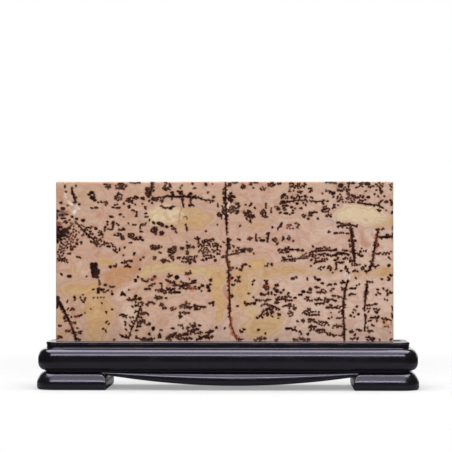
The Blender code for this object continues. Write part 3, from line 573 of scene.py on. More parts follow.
    (118.6, 24, 2, 1.6, 1), (137.8, 33.3, 2.2, 2, 2), (140.2, 33.4, 1.6, 5.4, 3), (78, 24.4, 7.4, 3, 9),
    (82.3, 23.5, 2.6, 2, 3), (75.6, 20.8, 3, 2.2, 3), (76.2, 27.6, 2.4, 4, 4), (76, 16.8, 8.4, 5.2, 14),
    (82.6, 15, 4.4, 2.4, 5, 30), (75.2, 12.9, 3.6, 1.8, 3), (87, 11, 3, 3.2, 5), (83.2, 6.2, 2.8, 1.8, 3, 20),
    (82, 1.6, 15, 3, 19), (92.6, 4.6, 3.6, 5.4, 9), (100.4, 2, 5, 3.4, 7), (103.4, 5, 10, 3.4, 15, 30),
    (112, 5, 14, 3.6, 22, 15), (120, 8, 12, 4.4, 22, 22), (116, 2, 16, 2.8, 18), (104, 11, 2.6, 3, 4),
    (123.2, 13.4, 4.4, 3.4, 7), (124, 16.4, 2.4, 2, 3), (128, 13.8, 3.6, 2, 4, -10),
    (111.4, 14, 5.4, 2, 6, -15), (113, 11.6, 2.6, 2.2, 3), (117.6, 11, 3.2, 4, 5), (119.7, 15, 1.4, 1.2, 1),
    (126, 10.6, 5.4, 2.2, 6), (127.4, 7, 8, 2, 8, 8), (131, 3.4, 13, 3, 18, 22), (137, 8, 9, 2.4, 13, 14),
    (137.4, 3.4, 8, 3, 9, 8), (143, 11.8, 3, 2.2, 4, -30), (150.4, 11.5, 1.4, 1, 1), (94, 9.8, 1.4, 1.2, 1),
    # Lower middle right, u 150 to 226
    (158.4, 49.6, 3.6, 2, 4), (156.8, 40, 3.8, 2.4, 5), (159.6, 54, 2.2, 2.4, 2), (162.8, 56.6, 4, 3, 6),
    (162.9, 53.2, 4, 3, 7), (158.4, 64.6, 2.6, 1.8, 2), (161.5, 64.4, 2.4, 1.8, 2), (155.9, 63, 1.8, 1.4, 1),
    (168.4, 67.9, 5.6, 1.8, 7), (165, 63.2, 4, 1.6, 3), (188.8, 68.8, 2, 2, 2), (192.2, 68.2, 1.4, 1.8, 1),
    (187.6, 66.4, 3, 2, 2), (162.4, 31, 3.4, 1.4, 3), (175.2, 50.3, 4, 1.6, 2), (176, 53.2, 1.4, 1, 1),
    (171.8, 42, 1, 1.4, 1), (176, 39.2, 2.4, 2, 2, -45), (168.6, 34, 2.6, 2.2, 3), (169.6, 31.8, 2.2, 1.8, 2),
    (172.6, 33, 7.4, 2.6, 9), (187, 36.6, 10, 2, 11, 2), (180.2, 36, 4, 2, 4, -8), (190, 41, 15, 2, 13),
    (194.4, 46.8, 2.6, 2.4, 3, -30), (196.7, 49.6, 3.6, 3, 6), (200, 43, 2.6, 1.8, 3),
    (202.6, 45.2, 1.8, 1.2, 1, -20), (187, 53, 3.6, 1.6, 3), (185.4, 48.4, 2, 2.4, 2), (188, 47.2, 5, 5, 11),
    (198, 37.6, 4.4, 3.8, 7), (202.6, 38, 7, 3.2, 9), (205, 36.2, 11, 1.8, 6), (206.8, 42.6, 2.4, 4.4, 4),
    (207, 39.2, 5.4, 2, 4), (196.6, 34, 5, 3.6, 9), (183.2, 31.1, 3.4, 1.8, 4), (185.4, 24.6, 4.6, 4, 8, 45),
    (188.4, 24, 2.4, 4.4, 5), (191.8, 25.4, 3.6, 3.6, 7), (183.4, 22.2, 2.8, 2, 3, 30),
    (192.4, 21.6, 3.6, 1.6, 2), (180, 20.7, 2.8, 1.2, 2), (198.7, 23.6, 2, 2.2, 3),
    (198.2, 20.6, 2.6, 2.6, 4), (207, 31.2, 13, 2.2, 11, 3), (208.4, 32.6, 4.4, 1.6, 3),
    (207.6, 29.2, 2.4, 1.8, 2), (212.2, 28.8, 3.8, 2.6, 5), (208.6, 24.4, 5, 6.4, 12, 10),
    (213, 38.3, 3, 1.8, 2), (225.2, 43.3, 4.4, 2.2, 4), (223.6, 37.4, 5.4, 5, 9), (222.6, 25, 9.4, 4.8, 14),
    (225.6, 28.4, 3.2, 1.4, 2), (214.8, 17.5, 1.8, 1.4, 1), (220.2, 18, 3.4, 3.2, 5, -45),
    (226, 18, 5, 4.4, 7), (226.4, 13, 4, 3, 5), (208.6, 10.8, 9, 2.8, 9, -8), (212.6, 9.6, 5, 2.8, 5),
    (213.4, 12.2, 2.4, 1.4, 2), (217.6, 7.8, 4, 2, 3, -45), (224, 6.3, 2.4, 1.6, 2),
    (183.6, 2.6, 8.4, 3.6, 12), (180, 1, 7, 2, 6), (165, 1.8, 5.4, 2, 6), (165.4, 8.4, 3.6, 2.2, 5),
    (167.4, 10.2, 3.4, 1.4, 3, 20), (180.5, 9.8, 1, 1, 1), (186.4, 6.6, 1.4, 1.2, 1), (196.4, 1.2, 3.4, 2, 4),
    (218.4, 1.6, 15, 3, 14), (223.4, 55.2, 2.4, 2.4, 2, -40), (214, 56.8, 4, 1.6, 2), (211, 55.6, 3, 2.4, 2),
    (227.4, 66.6, 3, 1.8, 2), (207.6, 71.4, 15, 1.8, 10), (172.8, 66.4, 1, 1, 1),
    # Lower right, u 224 to 300
    (254.8, 52.6, 3.6, 3.4, 5), (254.2, 46.6, 3, 3.6, 3), (263.4, 46.8, 7, 2, 5, 4), (267.4, 49.7, 2, 1.6, 2),
    (269.8, 50.4, 1.4, 1, 1), (263, 41.5, 8, 2.4, 7, 5), (266.6, 55.4, 1.8, 2.2, 2),
    (233.4, 54.4, 7, 2.8, 7, -10), (230.4, 56.4, 2, 2, 2), (245.4, 49.9, 10, 2, 9),
    (226.6, 45.4, 4.4, 3.6, 5), (225.2, 43.2, 2.8, 1.8, 2), (232.8, 47.6, 4.4, 2.6, 5),
    (234, 43.3, 5, 1.8, 4), (238.2, 44.2, 6.4, 5, 10), (244.8, 45.4, 4, 2.6, 4, 35), (246.8, 46.9, 2, 1.6, 2),
    (248, 40.3, 8, 2.2, 7), (252.6, 39, 4.4, 2, 4), (226, 36, 6, 4.4, 7), (233.4, 37, 7.4, 3.6, 9),
    (241, 35.6, 6, 3, 5, -10), (246, 29.9, 16, 2.2, 12), (243.6, 31.8, 4.4, 2, 4), (250.6, 31.3, 2, 1.4, 2),
    (230.6, 32.2, 2, 1.4, 1), (229.4, 26, 13, 2.4, 12), (229.4, 23.2, 13, 2.2, 10, 3),
    (244.7, 25.6, 1.4, 1.4, 1), (251.8, 26, 2.8, 1.8, 2, 20), (245.4, 21.2, 1.6, 1.4, 1),
    (242.6, 20.3, 1.6, 1.6, 1), (251.6, 20.6, 6, 1.8, 4, -6), (229, 18, 8, 4, 9, -20),
    (235.4, 16, 10.4, 4, 11, -25), (241.6, 15.4, 6.4, 3.6, 7, -30), (228.4, 12.8, 8, 2.4, 6),
    (250.4, 13.4, 9, 3.2, 9, -8), (246.4, 11.8, 3.4, 2, 2), (233, 10, 15, 2, 11), (235.4, 8, 9.4, 2.8, 9),
    (244.4, 6, 12, 3, 12, -12), (253.6, 5.4, 5.4, 2, 5, 20), (225, 1.4, 2.4, 2, 2),
    (265.6, 27.4, 3.2, 2.6, 3), (264, 25.6, 2, 1.4, 1), (264.6, 21.2, 5, 2, 3, -10),
    (269.4, 9.7, 5.4, 3, 5, -20), (263.2, 8.5, 4.4, 2.8, 5), (265.4, 5.6, 2.2, 1.8, 2),
    (264.6, 2.4, 9.4, 2.6, 7), (278.8, 31.9, 6.4, 1.6, 5), (283.8, 33, 3.8, 2.6, 5),
    (278, 28.6, 5, 1.8, 4, 5), (278, 26.4, 2, 1.8, 2), (285, 28.2, 6.4, 2.4, 6), (285, 25.7, 3, 1.8, 2),
    (283, 21, 9, 2.2, 8), (279.2, 18.1, 3.2, 1.6, 2), (285, 17.8, 3, 2, 3), (282, 14, 4.4, 2, 4, -10),
    (279, 9.1, 6, 1.8, 5), (277, 12.6, 2, 2, 2), (280, 3, 7.4, 2, 6, -22), (279.4, 1.2, 7, 1.8, 4),
    (287.6, 1.4, 2.6, 1.4, 2), (284.8, 40.9, 3.2, 2.2, 3), (287.4, 42.4, 3, 3, 3, 30),
    (286.2, 45.6, 2, 1.8, 2), (291.4, 46.6, 2.4, 1.8, 2), (294.4, 45.4, 3.2, 3.2, 5),
    (294.6, 41.8, 2, 2.8, 2), (298, 43, 3, 2, 2), (293.6, 36.8, 4.2, 2, 4, -10), (298.6, 29, 2.4, 4, 3),
    (299.2, 23, 1.4, 6, 4), (291.6, 20, 4.4, 2.6, 4), (296.4, 19, 6, 2.4, 5), (291.6, 17, 2.4, 1.6, 2),
    (294, 13, 5, 2, 3, -10), (297.6, 7.4, 2, 2.4, 2), (298.2, 2.2, 3, 4.4, 4), (280.4, 52.2, 4.4, 1.6, 2),
    (289.4, 54.8, 4, 1.6, 2, -15), (296, 55.4, 2.6, 3, 3), (297.8, 58.4, 3.6, 1.8, 3),
    (284.6, 66.6, 6, 2.8, 4), (275.2, 67.2, 3, 2, 2), (272.2, 64.6, 4.4, 4, 5, 50), (270, 68.2, 4.4, 2.8, 3),
    (265.6, 68.2, 8, 3, 7), (267, 62.2, 6.4, 2.2, 4), (258, 64.8, 3.4, 4, 4), (254, 62.2, 2, 1.6, 2),
    (243.4, 64.2, 4, 5.4, 6), (246, 61, 2, 2.4, 2), (241, 64.8, 2, 1.6, 1), (234.6, 64.6, 4.4, 4.2, 5),
    (238.4, 65.6, 1.4, 1.4, 1), (231.6, 70, 5, 2.8, 4), (236.4, 71, 7, 2, 5), (253, 69.8, 6.4, 3, 5),
    (262, 70.6, 4, 2, 2), (276, 4, 2, 2, 2),
)


def catmull(points, step):
    """Points about a step apart along a smooth curve through these, each with its place along the list."""
    smooth = []
    padded = [points[0], *points, points[-1]]
    for index in range(len(points) - 1):
        before, start, end, after = (np.array(point, float) for point in padded[index : index + 4])
        count = max(1, round(float(np.linalg.norm(end - start)) / step))
        for part in range(count):
            t = part / count
            place = 0.5 * (
                2 * start
                + (end - before) * t
                + (2 * before - 5 * start + 4 * end - after) * t**2
                + (3 * start - before - 3 * end + after) * t**3
            )
            smooth.append((index + t, place))
    smooth.append((len(points) - 1.0, np.array(points[-1], float)))
    return smooth


def fleck(rng, u, v, lean, size=1.0):
    """One fleck: a short uneven stroke of beads that leans at this angle."""
    radius = size * rng.uniform(0.66, 0.98)
    reach = radius * rng.choice((0.3, 0.5, 0.7, 1.0))
    discs = []
    for step in (-1, 0, 1):
        along = step * reach
        across = radius * rng.gauss(0, 0.16)
        discs.append(
            (
                u + along * math.cos(lean) - across * math.sin(lean),
                v + along * math.sin(lean) + across * math.cos(lean),
                radius * rng.uniform(0.74, 1.0),
            )
        )
    if rng.random() < 0.4:
        turn = lean + rng.choice((-1, 1)) * rng.uniform(1.0, 1.7)
        discs.append((u + 1.1 * radius * math.cos(turn), v + 1.1 * radius * math.sin(turn), 0.6 * radius))
    return discs


def stroke_lean(rng, u, v):
    """Which way a fleck leans: like its neighbours, up to the left or to the right, and some lie flat."""
    drift = math.sin(u / 6.1 + 1.7 * math.sin(v / 5.3)) + 0.6 * math.sin(v / 3.7 - u / 9.0)
    return math.radians(90 - 62 * math.tanh(2.2 * drift)) + rng.gauss(0, 0.38)


class FleckBed:
    """The flecks placed so far, so that each new one keeps clear of its neighbours."""

    def __init__(self):
        self.cells = {}

    def clear(self, u, v, lean, ease):
        column, row = int(u // FLECK_ALONG), int(v // FLECK_ALONG)
        for across in (column - 1, column, column + 1):
            for up in (row - 1, row, row + 1):
                for other_u, other_v in self.cells.get((across, up), ()):
                    away_u, away_v = u - other_u, v - other_v
                    along = away_u * math.cos(lean) + away_v * math.sin(lean)
                    aside = away_v * math.cos(lean) - away_u * math.sin(lean)
                    if math.hypot(along / FLECK_ALONG, aside / FLECK_ASIDE) < ease:
                        return False
        return True

    def take(self, u, v):
        self.cells.setdefault((int(u // FLECK_ALONG), int(v // FLECK_ALONG)), []).append((u, v))


def spray(rng, bed, u, v, width, height, count, lean=0):
    """Separate flecks over a leaning ellipse."""
    turn = math.radians(lean)
    half_width = max(width / 2 - 0.55, 0.05)
    half_height = max(height / 2 - 0.45, 0.3 if count > 2 else 0.05)
    ease = min(1.0 if count > 2 else 0.75, 0.44 * math.sqrt(width * height / max(count, 1)))
    left = round(count * FLECKS_MORE)
    discs = []
    for _ in range(left * FLECK_TRIES):
        angle = rng.uniform(0, 2 * math.pi)
        share = math.sqrt(rng.random())
        along = half_width * share * math.cos(angle)
        across = half_height * share * math.sin(angle)
        centre_u = u + along * math.cos(turn) - across * math.sin(turn)
        centre_v = v + along * math.sin(turn) + across * math.cos(turn)
        stroke = stroke_lean(rng, centre_u, centre_v)
        if left > 0 and bed.clear(centre_u, centre_v, stroke, ease):
            bed.take(centre_u, centre_v)
            discs += fleck(rng, centre_u, centre_v, stroke)
            left -= 1
    return discs


def blot(rng, bed, u, v, width, height):
    """A solid dark spot with an uneven outline."""
    discs = []
    small = min(width, height) / 2
    spare_u = width / 2 - small
    spare_v = height / 2 - small
    runs = max(1, round(2.5 * max(spare_u, spare_v) / small))
    for run in range(runs + 1):
        share = 2 * run / runs - 1
        side = rng.choice((-1, 1))
        discs.append((u + share * spare_u, v + share * spare_v * side, small * rng.uniform(0.80, 0.96)))
    for _ in range(3 + round((width + height) / 1.6)):
        turn = rng.uniform(0, 2 * math.pi)
        reach = rng.uniform(0.74, 0.96)
        lobe_u = u + reach * width / 2 * math.cos(turn)
        lobe_v = v + reach * height / 2 * math.sin(turn)
        discs.append((lobe_u, lobe_v, min(0.75, small) * rng.uniform(0.35, 0.75)))
    for disc in discs:
        bed.take(disc[0], disc[1])
    return discs


def twig(rng, bed, widths, points):
    """A trunk or twig: beads along its curve, with leaning buds at the sides of its thicker stretches."""
    discs = []
    places = np.linspace(0, len(points) - 1, len(widths))
    path = catmull(points, TWIG_STEP)
    beads = [rng.uniform(*BEAD_SIZES) for _ in range(len(path) // BEAD_RUN + 2)]
    next_bud = rng.randint(1, 5)
    for index, (place, centre) in enumerate(path):
        bead = float(np.interp(index / BEAD_RUN, range(len(beads)), beads))
        radius = TWIG_GROWTH * bead * float(np.interp(place, places, widths)) / 2
        ahead = path[min(index + 1, len(path) - 1)][1] - path[max(index - 1, 0)][1]
        side = np.array((-ahead[1], ahead[0])) / max(float(np.hypot(*ahead)), 0.001)
        centre = centre + side * rng.gauss(0, 0.12)
        discs.append((*centre, radius))
        if index % 4 == 0:
            bed.take(*centre)
        if index >= next_bud and radius > 0.35:
            next_bud = index + rng.randint(2, 6 if radius > 0.9 else 11)
            hand = rng.choice((-1, 1))
            lean = math.atan2(ahead[1], ahead[0]) + hand * rng.uniform(0.6, 1.3)
            bud = centre + side * hand * (radius + rng.uniform(0.0, 0.5))
            discs += fleck(rng, *bud, lean, rng.uniform(0.55, 0.95))
    return discs


def dendrite_discs(seed, wander, kept):
    """All dendrites of one face as discs (u, v, radius). On the back they wander and some are left out."""
    rng = random.Random(seed)
    bed = FleckBed()
    discs = []
    for shape, items in ((twig, TWIGS), (blot, BLOTS), (spray, SPRAYS)):
        for item in items:
            shift_u = rng.uniform(-wander, wander)
            shift_v = rng.uniform(-wander, wander)
            left_out = rng.random() > kept
            made = shape(rng, bed, *item)
            if not left_out:
                discs += [(u + shift_u, v + shift_v, radius) for u, v, radius in made]
    return discs


class DepthField:
    """How deep each point of one face lies inside a set of discs, in millimetres: above 0 is inside."""

    def __init__(self, low_u, low_v, high_u, high_v):
        self.low = np.array((low_u, low_v)) - FIELD_REACH
        size = (np.array((high_u, high_v)) - self.low + FIELD_REACH) / FACE_STEP
        self.values = np.full((int(size[1]) + 2, int(size[0]) + 2), -FIELD_REACH)

    def add(self, discs, carve=False):
        rows, columns = self.values.shape
        for u, v, radius in discs:
            column, row = ((np.array((u, v)) - self.low) / FACE_STEP).astype(int)
            span = int((radius + FIELD_REACH) / FACE_STEP)
            row_low, row_high = max(row - span, 0), min(row + span + 1, rows)
            column_low, column_high = max(column - span, 0), min(column + span + 1, columns)
            if row_low >= row_high or column_low >= column_high:
                continue
            away_v = self.low[1] + FACE_STEP * np.arange(row_low, row_high)[:, None] - v
            away_u = self.low[0] + FACE_STEP * np.arange(column_low, column_high)[None, :] - u
            depth = radius - np.hypot(away_u, away_v)
            window = self.values[row_low:row_high, column_low:column_high]
            if carve:
                np.minimum(window, -depth, out=window)
            else:
                np.maximum(window, depth, out=window)

    def read(self, points):
        """The field at points (u, v), between its grid points."""
        place = (np.asarray(points) - self.low) / FACE_STEP
        limit = np.array(self.values.shape[::-1]) - 2
        cell = np.clip(np.floor(place).astype(int), 0, limit)
        share = np.clip(place - cell, 0, 1)
        u, v = cell[:, 0], cell[:, 1]
        low = self.values[v, u] * (1 - share[:, 0]) + self.values[v, u + 1] * share[:, 0]
        high = self.values[v + 1, u] * (1 - share[:, 0]) + self.values[v + 1, u + 1] * share[:, 0]
        return low * (1 - share[:, 1]) + high * share[:, 1]


def soft_step(values):
    values = np.clip(values, 0, 1)
    return values * values * (3 - 2 * values)


def warped(points):
    """The same points (u, v), moved smoothly by a few millimetres so that no patch keeps a drawn outline."""
    u, v = points[:, 0], points[:, 1]
    across = np.sin(v / 5.1 + 1.3 * np.sin(u / 13.0)) + 0.6 * np.sin(u / 7.3 + v / 9.1 + 2.0)
    across += 0.5 * np.sin(u / 2.9 - v / 3.7) + 0.3 * np.sin(v / 1.7 + 1.5 * np.sin(u / 4.1))
    up = np.sin(u / 8.7 + 1.1 * np.sin(v / 11.0)) + 0.5 * np.sin(v / 4.9 - u / 6.3 + 1.0)
    up += 0.5 * np.sin(u / 3.3 + v / 2.7) + 0.35 * np.sin(u / 1.9 + 1.4 * np.sin(v / 3.1))
    return points + PATCH_WARP / 2 * np.column_stack((across, 0.5 * up))


def ellipse_ring(points, u, v, width, height, lean=0):
    """How far out each point lies in a leaning ellipse: 0 in its middle and 1 on its outline."""
    turn = math.radians(lean)
    away = points - np.array((u, v))
    along = (away[:, 0] * math.cos(turn) + away[:, 1] * math.sin(turn)) / (width / 2)
    across = (away[:, 1] * math.cos(turn) - away[:, 0] * math.sin(turn)) / (height / 2)
    return np.hypot(along, across)


def patch_field(name, points):
    """Strength of one colour at points (u, v): its ellipses and bands, grown together where they meet."""
    softness = PATCH_SOFTNESS[name]
    clear = np.ones(len(points))
    for u, v, width, height, strength, *lean in PATCHES.get(name, ()):
        ring = ellipse_ring(points, u, v, width, height, *lean)
        clear *= 1 - strength * soft_step((1 + softness / 2 - ring) / softness)
    for (width, strength), route in BANDS.get(name, ()):
        line = np.array([place for _, place in catmull(route, 2.0)])
        nearest = np.full(len(points), 1e6)
        for start, end in zip(line[:-1], line[1:]):
            run = end - start
            share = np.clip((points - start) @ run / max(float(run @ run), 1e-6), 0, 1)
            nearest = np.minimum(nearest, np.hypot(*(points - start - share[:, None] * run).T))
        ring = nearest / (width / 2)
        clear *= 1 - strength * soft_step((1 + softness / 2 - ring) / softness)
    return 1 - clear


def face_points(field, spacings, low, high, rng):
    """Points of one face, closest together near a marking's edge. Each spacing holds up to a depth."""
    kept = []
    finer = None
    for spacing, reach in spacings:
        rows = int((high[1] - low[1]) / (spacing * ROW_PITCH))
        columns = int((high[0] - low[0]) / spacing)
        row, column = np.mgrid[0:rows, 0:columns]
        across = low[0] + spacing * (column + 0.5 * (row % 2) + 0.4)
        up = low[1] + spacing * ROW_PITCH * (row + 0.6)
        points = np.stack((across, up), axis=-1).reshape(-1, 2)
        points += rng.uniform(-0.18, 0.18, points.shape) * spacing
        margin = 0.45 * spacing
        inside = np.all((points > np.array(low) + margin) & (points < np.array(high) - margin), axis=1)
        points = points[inside]
        depth = np.abs(field.read(points))
        near = np.ones(len(points), bool) if reach is None else depth < reach
        if finer is not None:
            near &= depth >= finer
        kept.append(points[near])
        finer = reach
    return np.concatenate(kept)


def rounded_outline(low, high, radius, step):
    """Counter-clockwise outline (u, v) of a rectangle with small round corners, its points a step apart."""
    outline = []
    corners = ((high[0], high[1], 0), (low[0], high[1], 90), (low[0], low[1], 180), (high[0], low[1], 270))
    ends = []
    for corner_u, corner_v, start in corners:
        centre_u = corner_u - math.copysign(radius, corner_u - (low[0] + high[0]) / 2)
        centre_v = corner_v - math.copysign(radius, corner_v - (low[1] + high[1]) / 2)
        arc = []
        for degrees in (0, 30, 60, 90):
            turn = math.radians(start + degrees)
            arc.append((centre_u + radius * math.cos(turn), centre_v + radius * math.sin(turn)))
        ends.append(arc)
    for index, arc in enumerate(ends):
        outline += arc
        after = ends[(index + 1) % 4][0]
        run = math.dist(arc[-1], after)
        count = round(run / step)
        for part in range(1, count):
            share = part / count
            outline.append(
                (arc[-1][0] + (after[0] - arc[-1][0]) * share, arc[-1][1] + (after[1] - arc[-1][1]) * share)
            )
    return np.array(outline)


def make_slab_mesh(settings):
    """The slab as one closed mesh with its marking attributes and a map for baking."""
    rng = np.random.default_rng(settings.seed)
    length = SLAB_LENGTH
    bottom = (SLAB_LOW.z - BOARD_HIGH.z) / MM
    top = SLAB_SHOWN
    thickness = (SLAB_HIGH.y - SLAB_LOW.y) / MM
    arris = settings.arris / MM

    fields = []
    for seed, wander, kept in ((settings.seed, 0.0, 1.0), (settings.seed + 1, BACK_WANDER, BACK_KEPT)):
        field = DepthField(0, bottom, length, top)
        field.add(dendrite_discs(seed, wander, kept))
        field.add(HOLES, carve=True)
        fields.append(field)

    outer = rounded_outline((0, bottom), (length, top), SLAB_CORNER_RADIUS, OUTLINE_STEP)
    count = len(outer)
    inward = np.zeros_like(outer)
    for axis, (low, high) in enumerate(((0, length), (bottom, top))):
        inward[:, axis] = np.clip((low + SLAB_CORNER_RADIUS - outer[:, axis]) / SLAB_CORNER_RADIUS, 0, 1)
        inward[:, axis] -= np.clip((outer[:, axis] - high + SLAB_CORNER_RADIUS) / SLAB_CORNER_RADIUS, 0, 1)
    inward /= np.maximum(np.hypot(*inward.T), 0.001)[:, None]
    around = np.arange(count)
    unevenness = np.zeros(count)
    for waves in (7, 19, 43, 90):
        unevenness += np.sin(around * 2 * math.pi * waves / count + rng.uniform(0, 6.3)) / 4
    widths = arris * (1 - ARRIS_UNEVEN / 2 + ARRIS_UNEVEN / 2 * unevenness)

    # Rings from the front face round the thickness to the back face: how far in, and how deep
    rings = []
    for step in range(ARRIS_STEPS + 1):
        turn = math.radians(90 * step / ARRIS_STEPS)
        rings.append((widths * (1 - math.sin(turn)), widths * (1 - math.cos(turn))))
    for step in range(1, EDGE_STEPS):
        share = step / EDGE_STEPS
        rings.append((np.zeros(count), widths * (1 - share) + (thickness - widths) * share))
    rings += [(inset, thickness - depth) for inset, depth in reversed(rings[: ARRIS_STEPS + 1])]

    verts = []
    front_marks = []
    for inset, depth in rings:
        place = outer + inward * inset[:, None]
        verts.append(np.column_stack((place[:, 0], depth, place[:, 1])))
        front_marks.append(place)
    ring_count = len(rings)
    faces = []
    for ring in range(ring_count - 1):
        for index in range(count):
            after = (index + 1) % count
            here = ring * count
            there = here + count
            faces.append((here + index, there + index, there + after, here + after))
    edge_faces = len(faces)

    low = np.array((arris, bottom + arris))
    high = np.array((length - arris, top - arris))
    total = ring_count * count
    for side, (field, spacings) in enumerate(zip(fields, (FRONT_SPACINGS, BACK_SPACINGS))):
        first = 0 if side == 0 else (ring_count - 1) * count
        loop = front_marks[0] if side == 0 else front_marks[-1]
        inner = face_points(field, spacings, low, high, rng)
        points = [Vector(point) for point in np.concatenate((loop, inner))]
        made = delaunay_2d_cdt(points, [], [list(range(count))], 1, 1e-6)
        if len(made[0]) != len(points):
            raise RuntimeError("the face's points changed while they were joined")
        number = np.concatenate((np.arange(count) + first, np.arange(len(inner)) + total))
        for corner in made[2]:
            corners = [int(number[index]) for index in corner]
            faces.append(corners if side == 0 else corners[::-1])
        verts.append(np.column_stack((inner[:, 0], np.full(len(inner), thickness * side), inner[:, 1])))
        total += len(inner)

    verts = np.concatenate(verts)
    mesh = bpy.data.meshes.new("stone_slab")
    places = verts * MM
    places += np.array((SLAB_LOW.x, SLAB_LOW.y, BOARD_HIGH.z))
    mesh.from_pydata(places.tolist(), [], faces)
    mesh.update()

    # The markings reach through the stone and fade from each face towards the middle
    flat = verts[:, (0, 2)]
    depth = verts[:, 1]
    front = fields[0].read(flat) - MARK_FADE * depth
    back = fields[1].read(flat) - MARK_FADE * (thickness - depth)
    front_share = 1 - soft_step((depth - 1) / (thickness - 2))
    add_attribute(mesh, "dendrite", np.clip(np.maximum(front, back), -FIELD_REACH, FIELD_REACH))
    back_flat = flat * (1, 0.94) + (4, 3)
    flat, back_flat = warped(flat), warped(back_flat)
    for name in PATCH_SOFTNESS:
        values = patch_field(name, flat) * front_share + patch_field(name, back_flat) * (1 - front_share)
        add_attribute(mesh, name, values)
    edge = soft_step(depth / arris) * soft_step((thickness - depth) / arris)
    add_attribute(mesh, "edge", edge)
    lay_out_for_baking(mesh, verts, edge_faces, count, length, top - bottom, bottom, thickness)
    return mesh


def lay_out_for_baking(mesh, verts, edge_faces, count, length, height, bottom, thickness):
    """Map of the slab: both faces whole, and the four edges as strips beside them."""
    scale = BAKE_PIXELS_PER_MM / BAKE_PIXELS
    gutter = BAKE_GUTTER / BAKE_PIXELS
    face_high = height * scale + gutter
    strip = thickness * scale + gutter
    layer = mesh.uv_layers.new(name="OFBake")
    loops = len(mesh.loops)
    corner = np.zeros(loops, np.int32)
    mesh.loops.foreach_get("vertex_index", corner)
    starts = np.zeros(len(mesh.polygons), np.int32)
    totals = np.zeros(len(mesh.polygons), np.int32)
    mesh.polygons.foreach_get("loop_start", starts)
    mesh.polygons.foreach_get("loop_total", totals)
    face_of = np.repeat(np.arange(len(mesh.polygons)), totals)
    normals = np.zeros(len(mesh.polygons) * 3)
    mesh.polygons.foreach_get("normal", normals)
    normals = normals.reshape(-1, 3)[face_of]
    u = verts[corner, 0] * scale
    depth = verts[corner, 1] * scale
    v = (verts[corner, 2] - bottom) * scale
    is_edge = face_of < edge_faces
    upright = np.abs(normals[:, 0]) > np.abs(normals[:, 2])
    ends_u = length * scale + gutter + strip
    kinds = (
        (~is_edge & (normals[:, 1] < 0), u, v),
        (~is_edge & (normals[:, 1] >= 0), u, v + face_high),
        (is_edge & ~upright & (normals[:, 2] > 0), u, depth + 2 * face_high),
        (is_edge & ~upright & (normals[:, 2] <= 0), length * scale + gutter + depth, u),
        (is_edge & upright & (normals[:, 0] < 0), ends_u + depth, v),
        (is_edge & upright & (normals[:, 0] >= 0), ends_u + depth, v + face_high),
    )
    places = np.zeros((loops, 2))
    for chosen, across, up in kinds:
        places[chosen, 0] = across[chosen]
        places[chosen, 1] = up[chosen]
    layer.data.foreach_set("uv", (places + gutter / 2).ravel())


def add_attribute(mesh, name, values):
    attribute = mesh.attributes.new(name, "FLOAT", "POINT")
    attribute.data.foreach_set("value", np.asarray(values, np.float32))


def node(tree, kind, inputs=None, **settings):
    """A new node with its settings, and its inputs set or linked by name or place."""
    made = tree.nodes.new(kind)
    for name, value in settings.items():
        setattr(made, name, value)
    for key, value in (inputs or {}).items():
        if isinstance(value, bpy.types.NodeSocket):
            tree.links.new(value, made.inputs[key])
        else:
            made.inputs[key].default_value = value
    return made


def maths(tree, operation, first, second=0.0, third=0.0, clamp=False):
    made = node(tree, "ShaderNodeMath", {0: first, 1: second, 2: third}, operation=operation, use_clamp=clamp)
    return made.outputs[0]


def mix_colour(tree, share, first, second, blend="MIX"):
    made = node(
        tree,
        "ShaderNodeMix",
        {0: share, 6: first, 7: second},
        data_type="RGBA",
        blend_type=blend,
        clamp_factor=True,
    )
    return made.outputs[2]


def map_range(tree, value, low, high, to_low=0.0, to_high=1.0):
    made = node(
        tree,
        "ShaderNodeMapRange",
        {"Value": value, "From Min": low, "From Max": high, "To Min": to_low, "To Max": to_high},
        interpolation_type="SMOOTHSTEP",
    )
    return made.outputs[0]


def noise(tree, vector, size_mm, detail=2.0, roughness=0.5, distortion=0.0):
    """Noise whose features are about this many millimetres across, on metre coordinates."""
    made = node(
        tree,
        "ShaderNodeTexNoise",
        {
            "Vector": vector,
            "Scale": 1 / (size_mm * MM),
            "Detail": detail,
            "Roughness": roughness,
            "Distortion": distortion,
        },
    )
    return made.outputs[0]


def attribute(tree, name):
    return node(tree, "ShaderNodeAttribute", attribute_name=name).outputs["Fac"]


def object_coordinates(tree):
    return node(tree, "ShaderNodeTexCoord").outputs["Object"]


def stretched(tree, vector, scale):
    return node(tree, "ShaderNodeMapping", {"Vector": vector, "Scale": scale}).outputs[0]


def opaque(colour):
    return (*colour, 1.0)


def new_material(name):
    made = bpy.data.materials.new(name)
    made.use_nodes = True
    return made, made.node_tree, made.node_tree.nodes["Principled BSDF"]


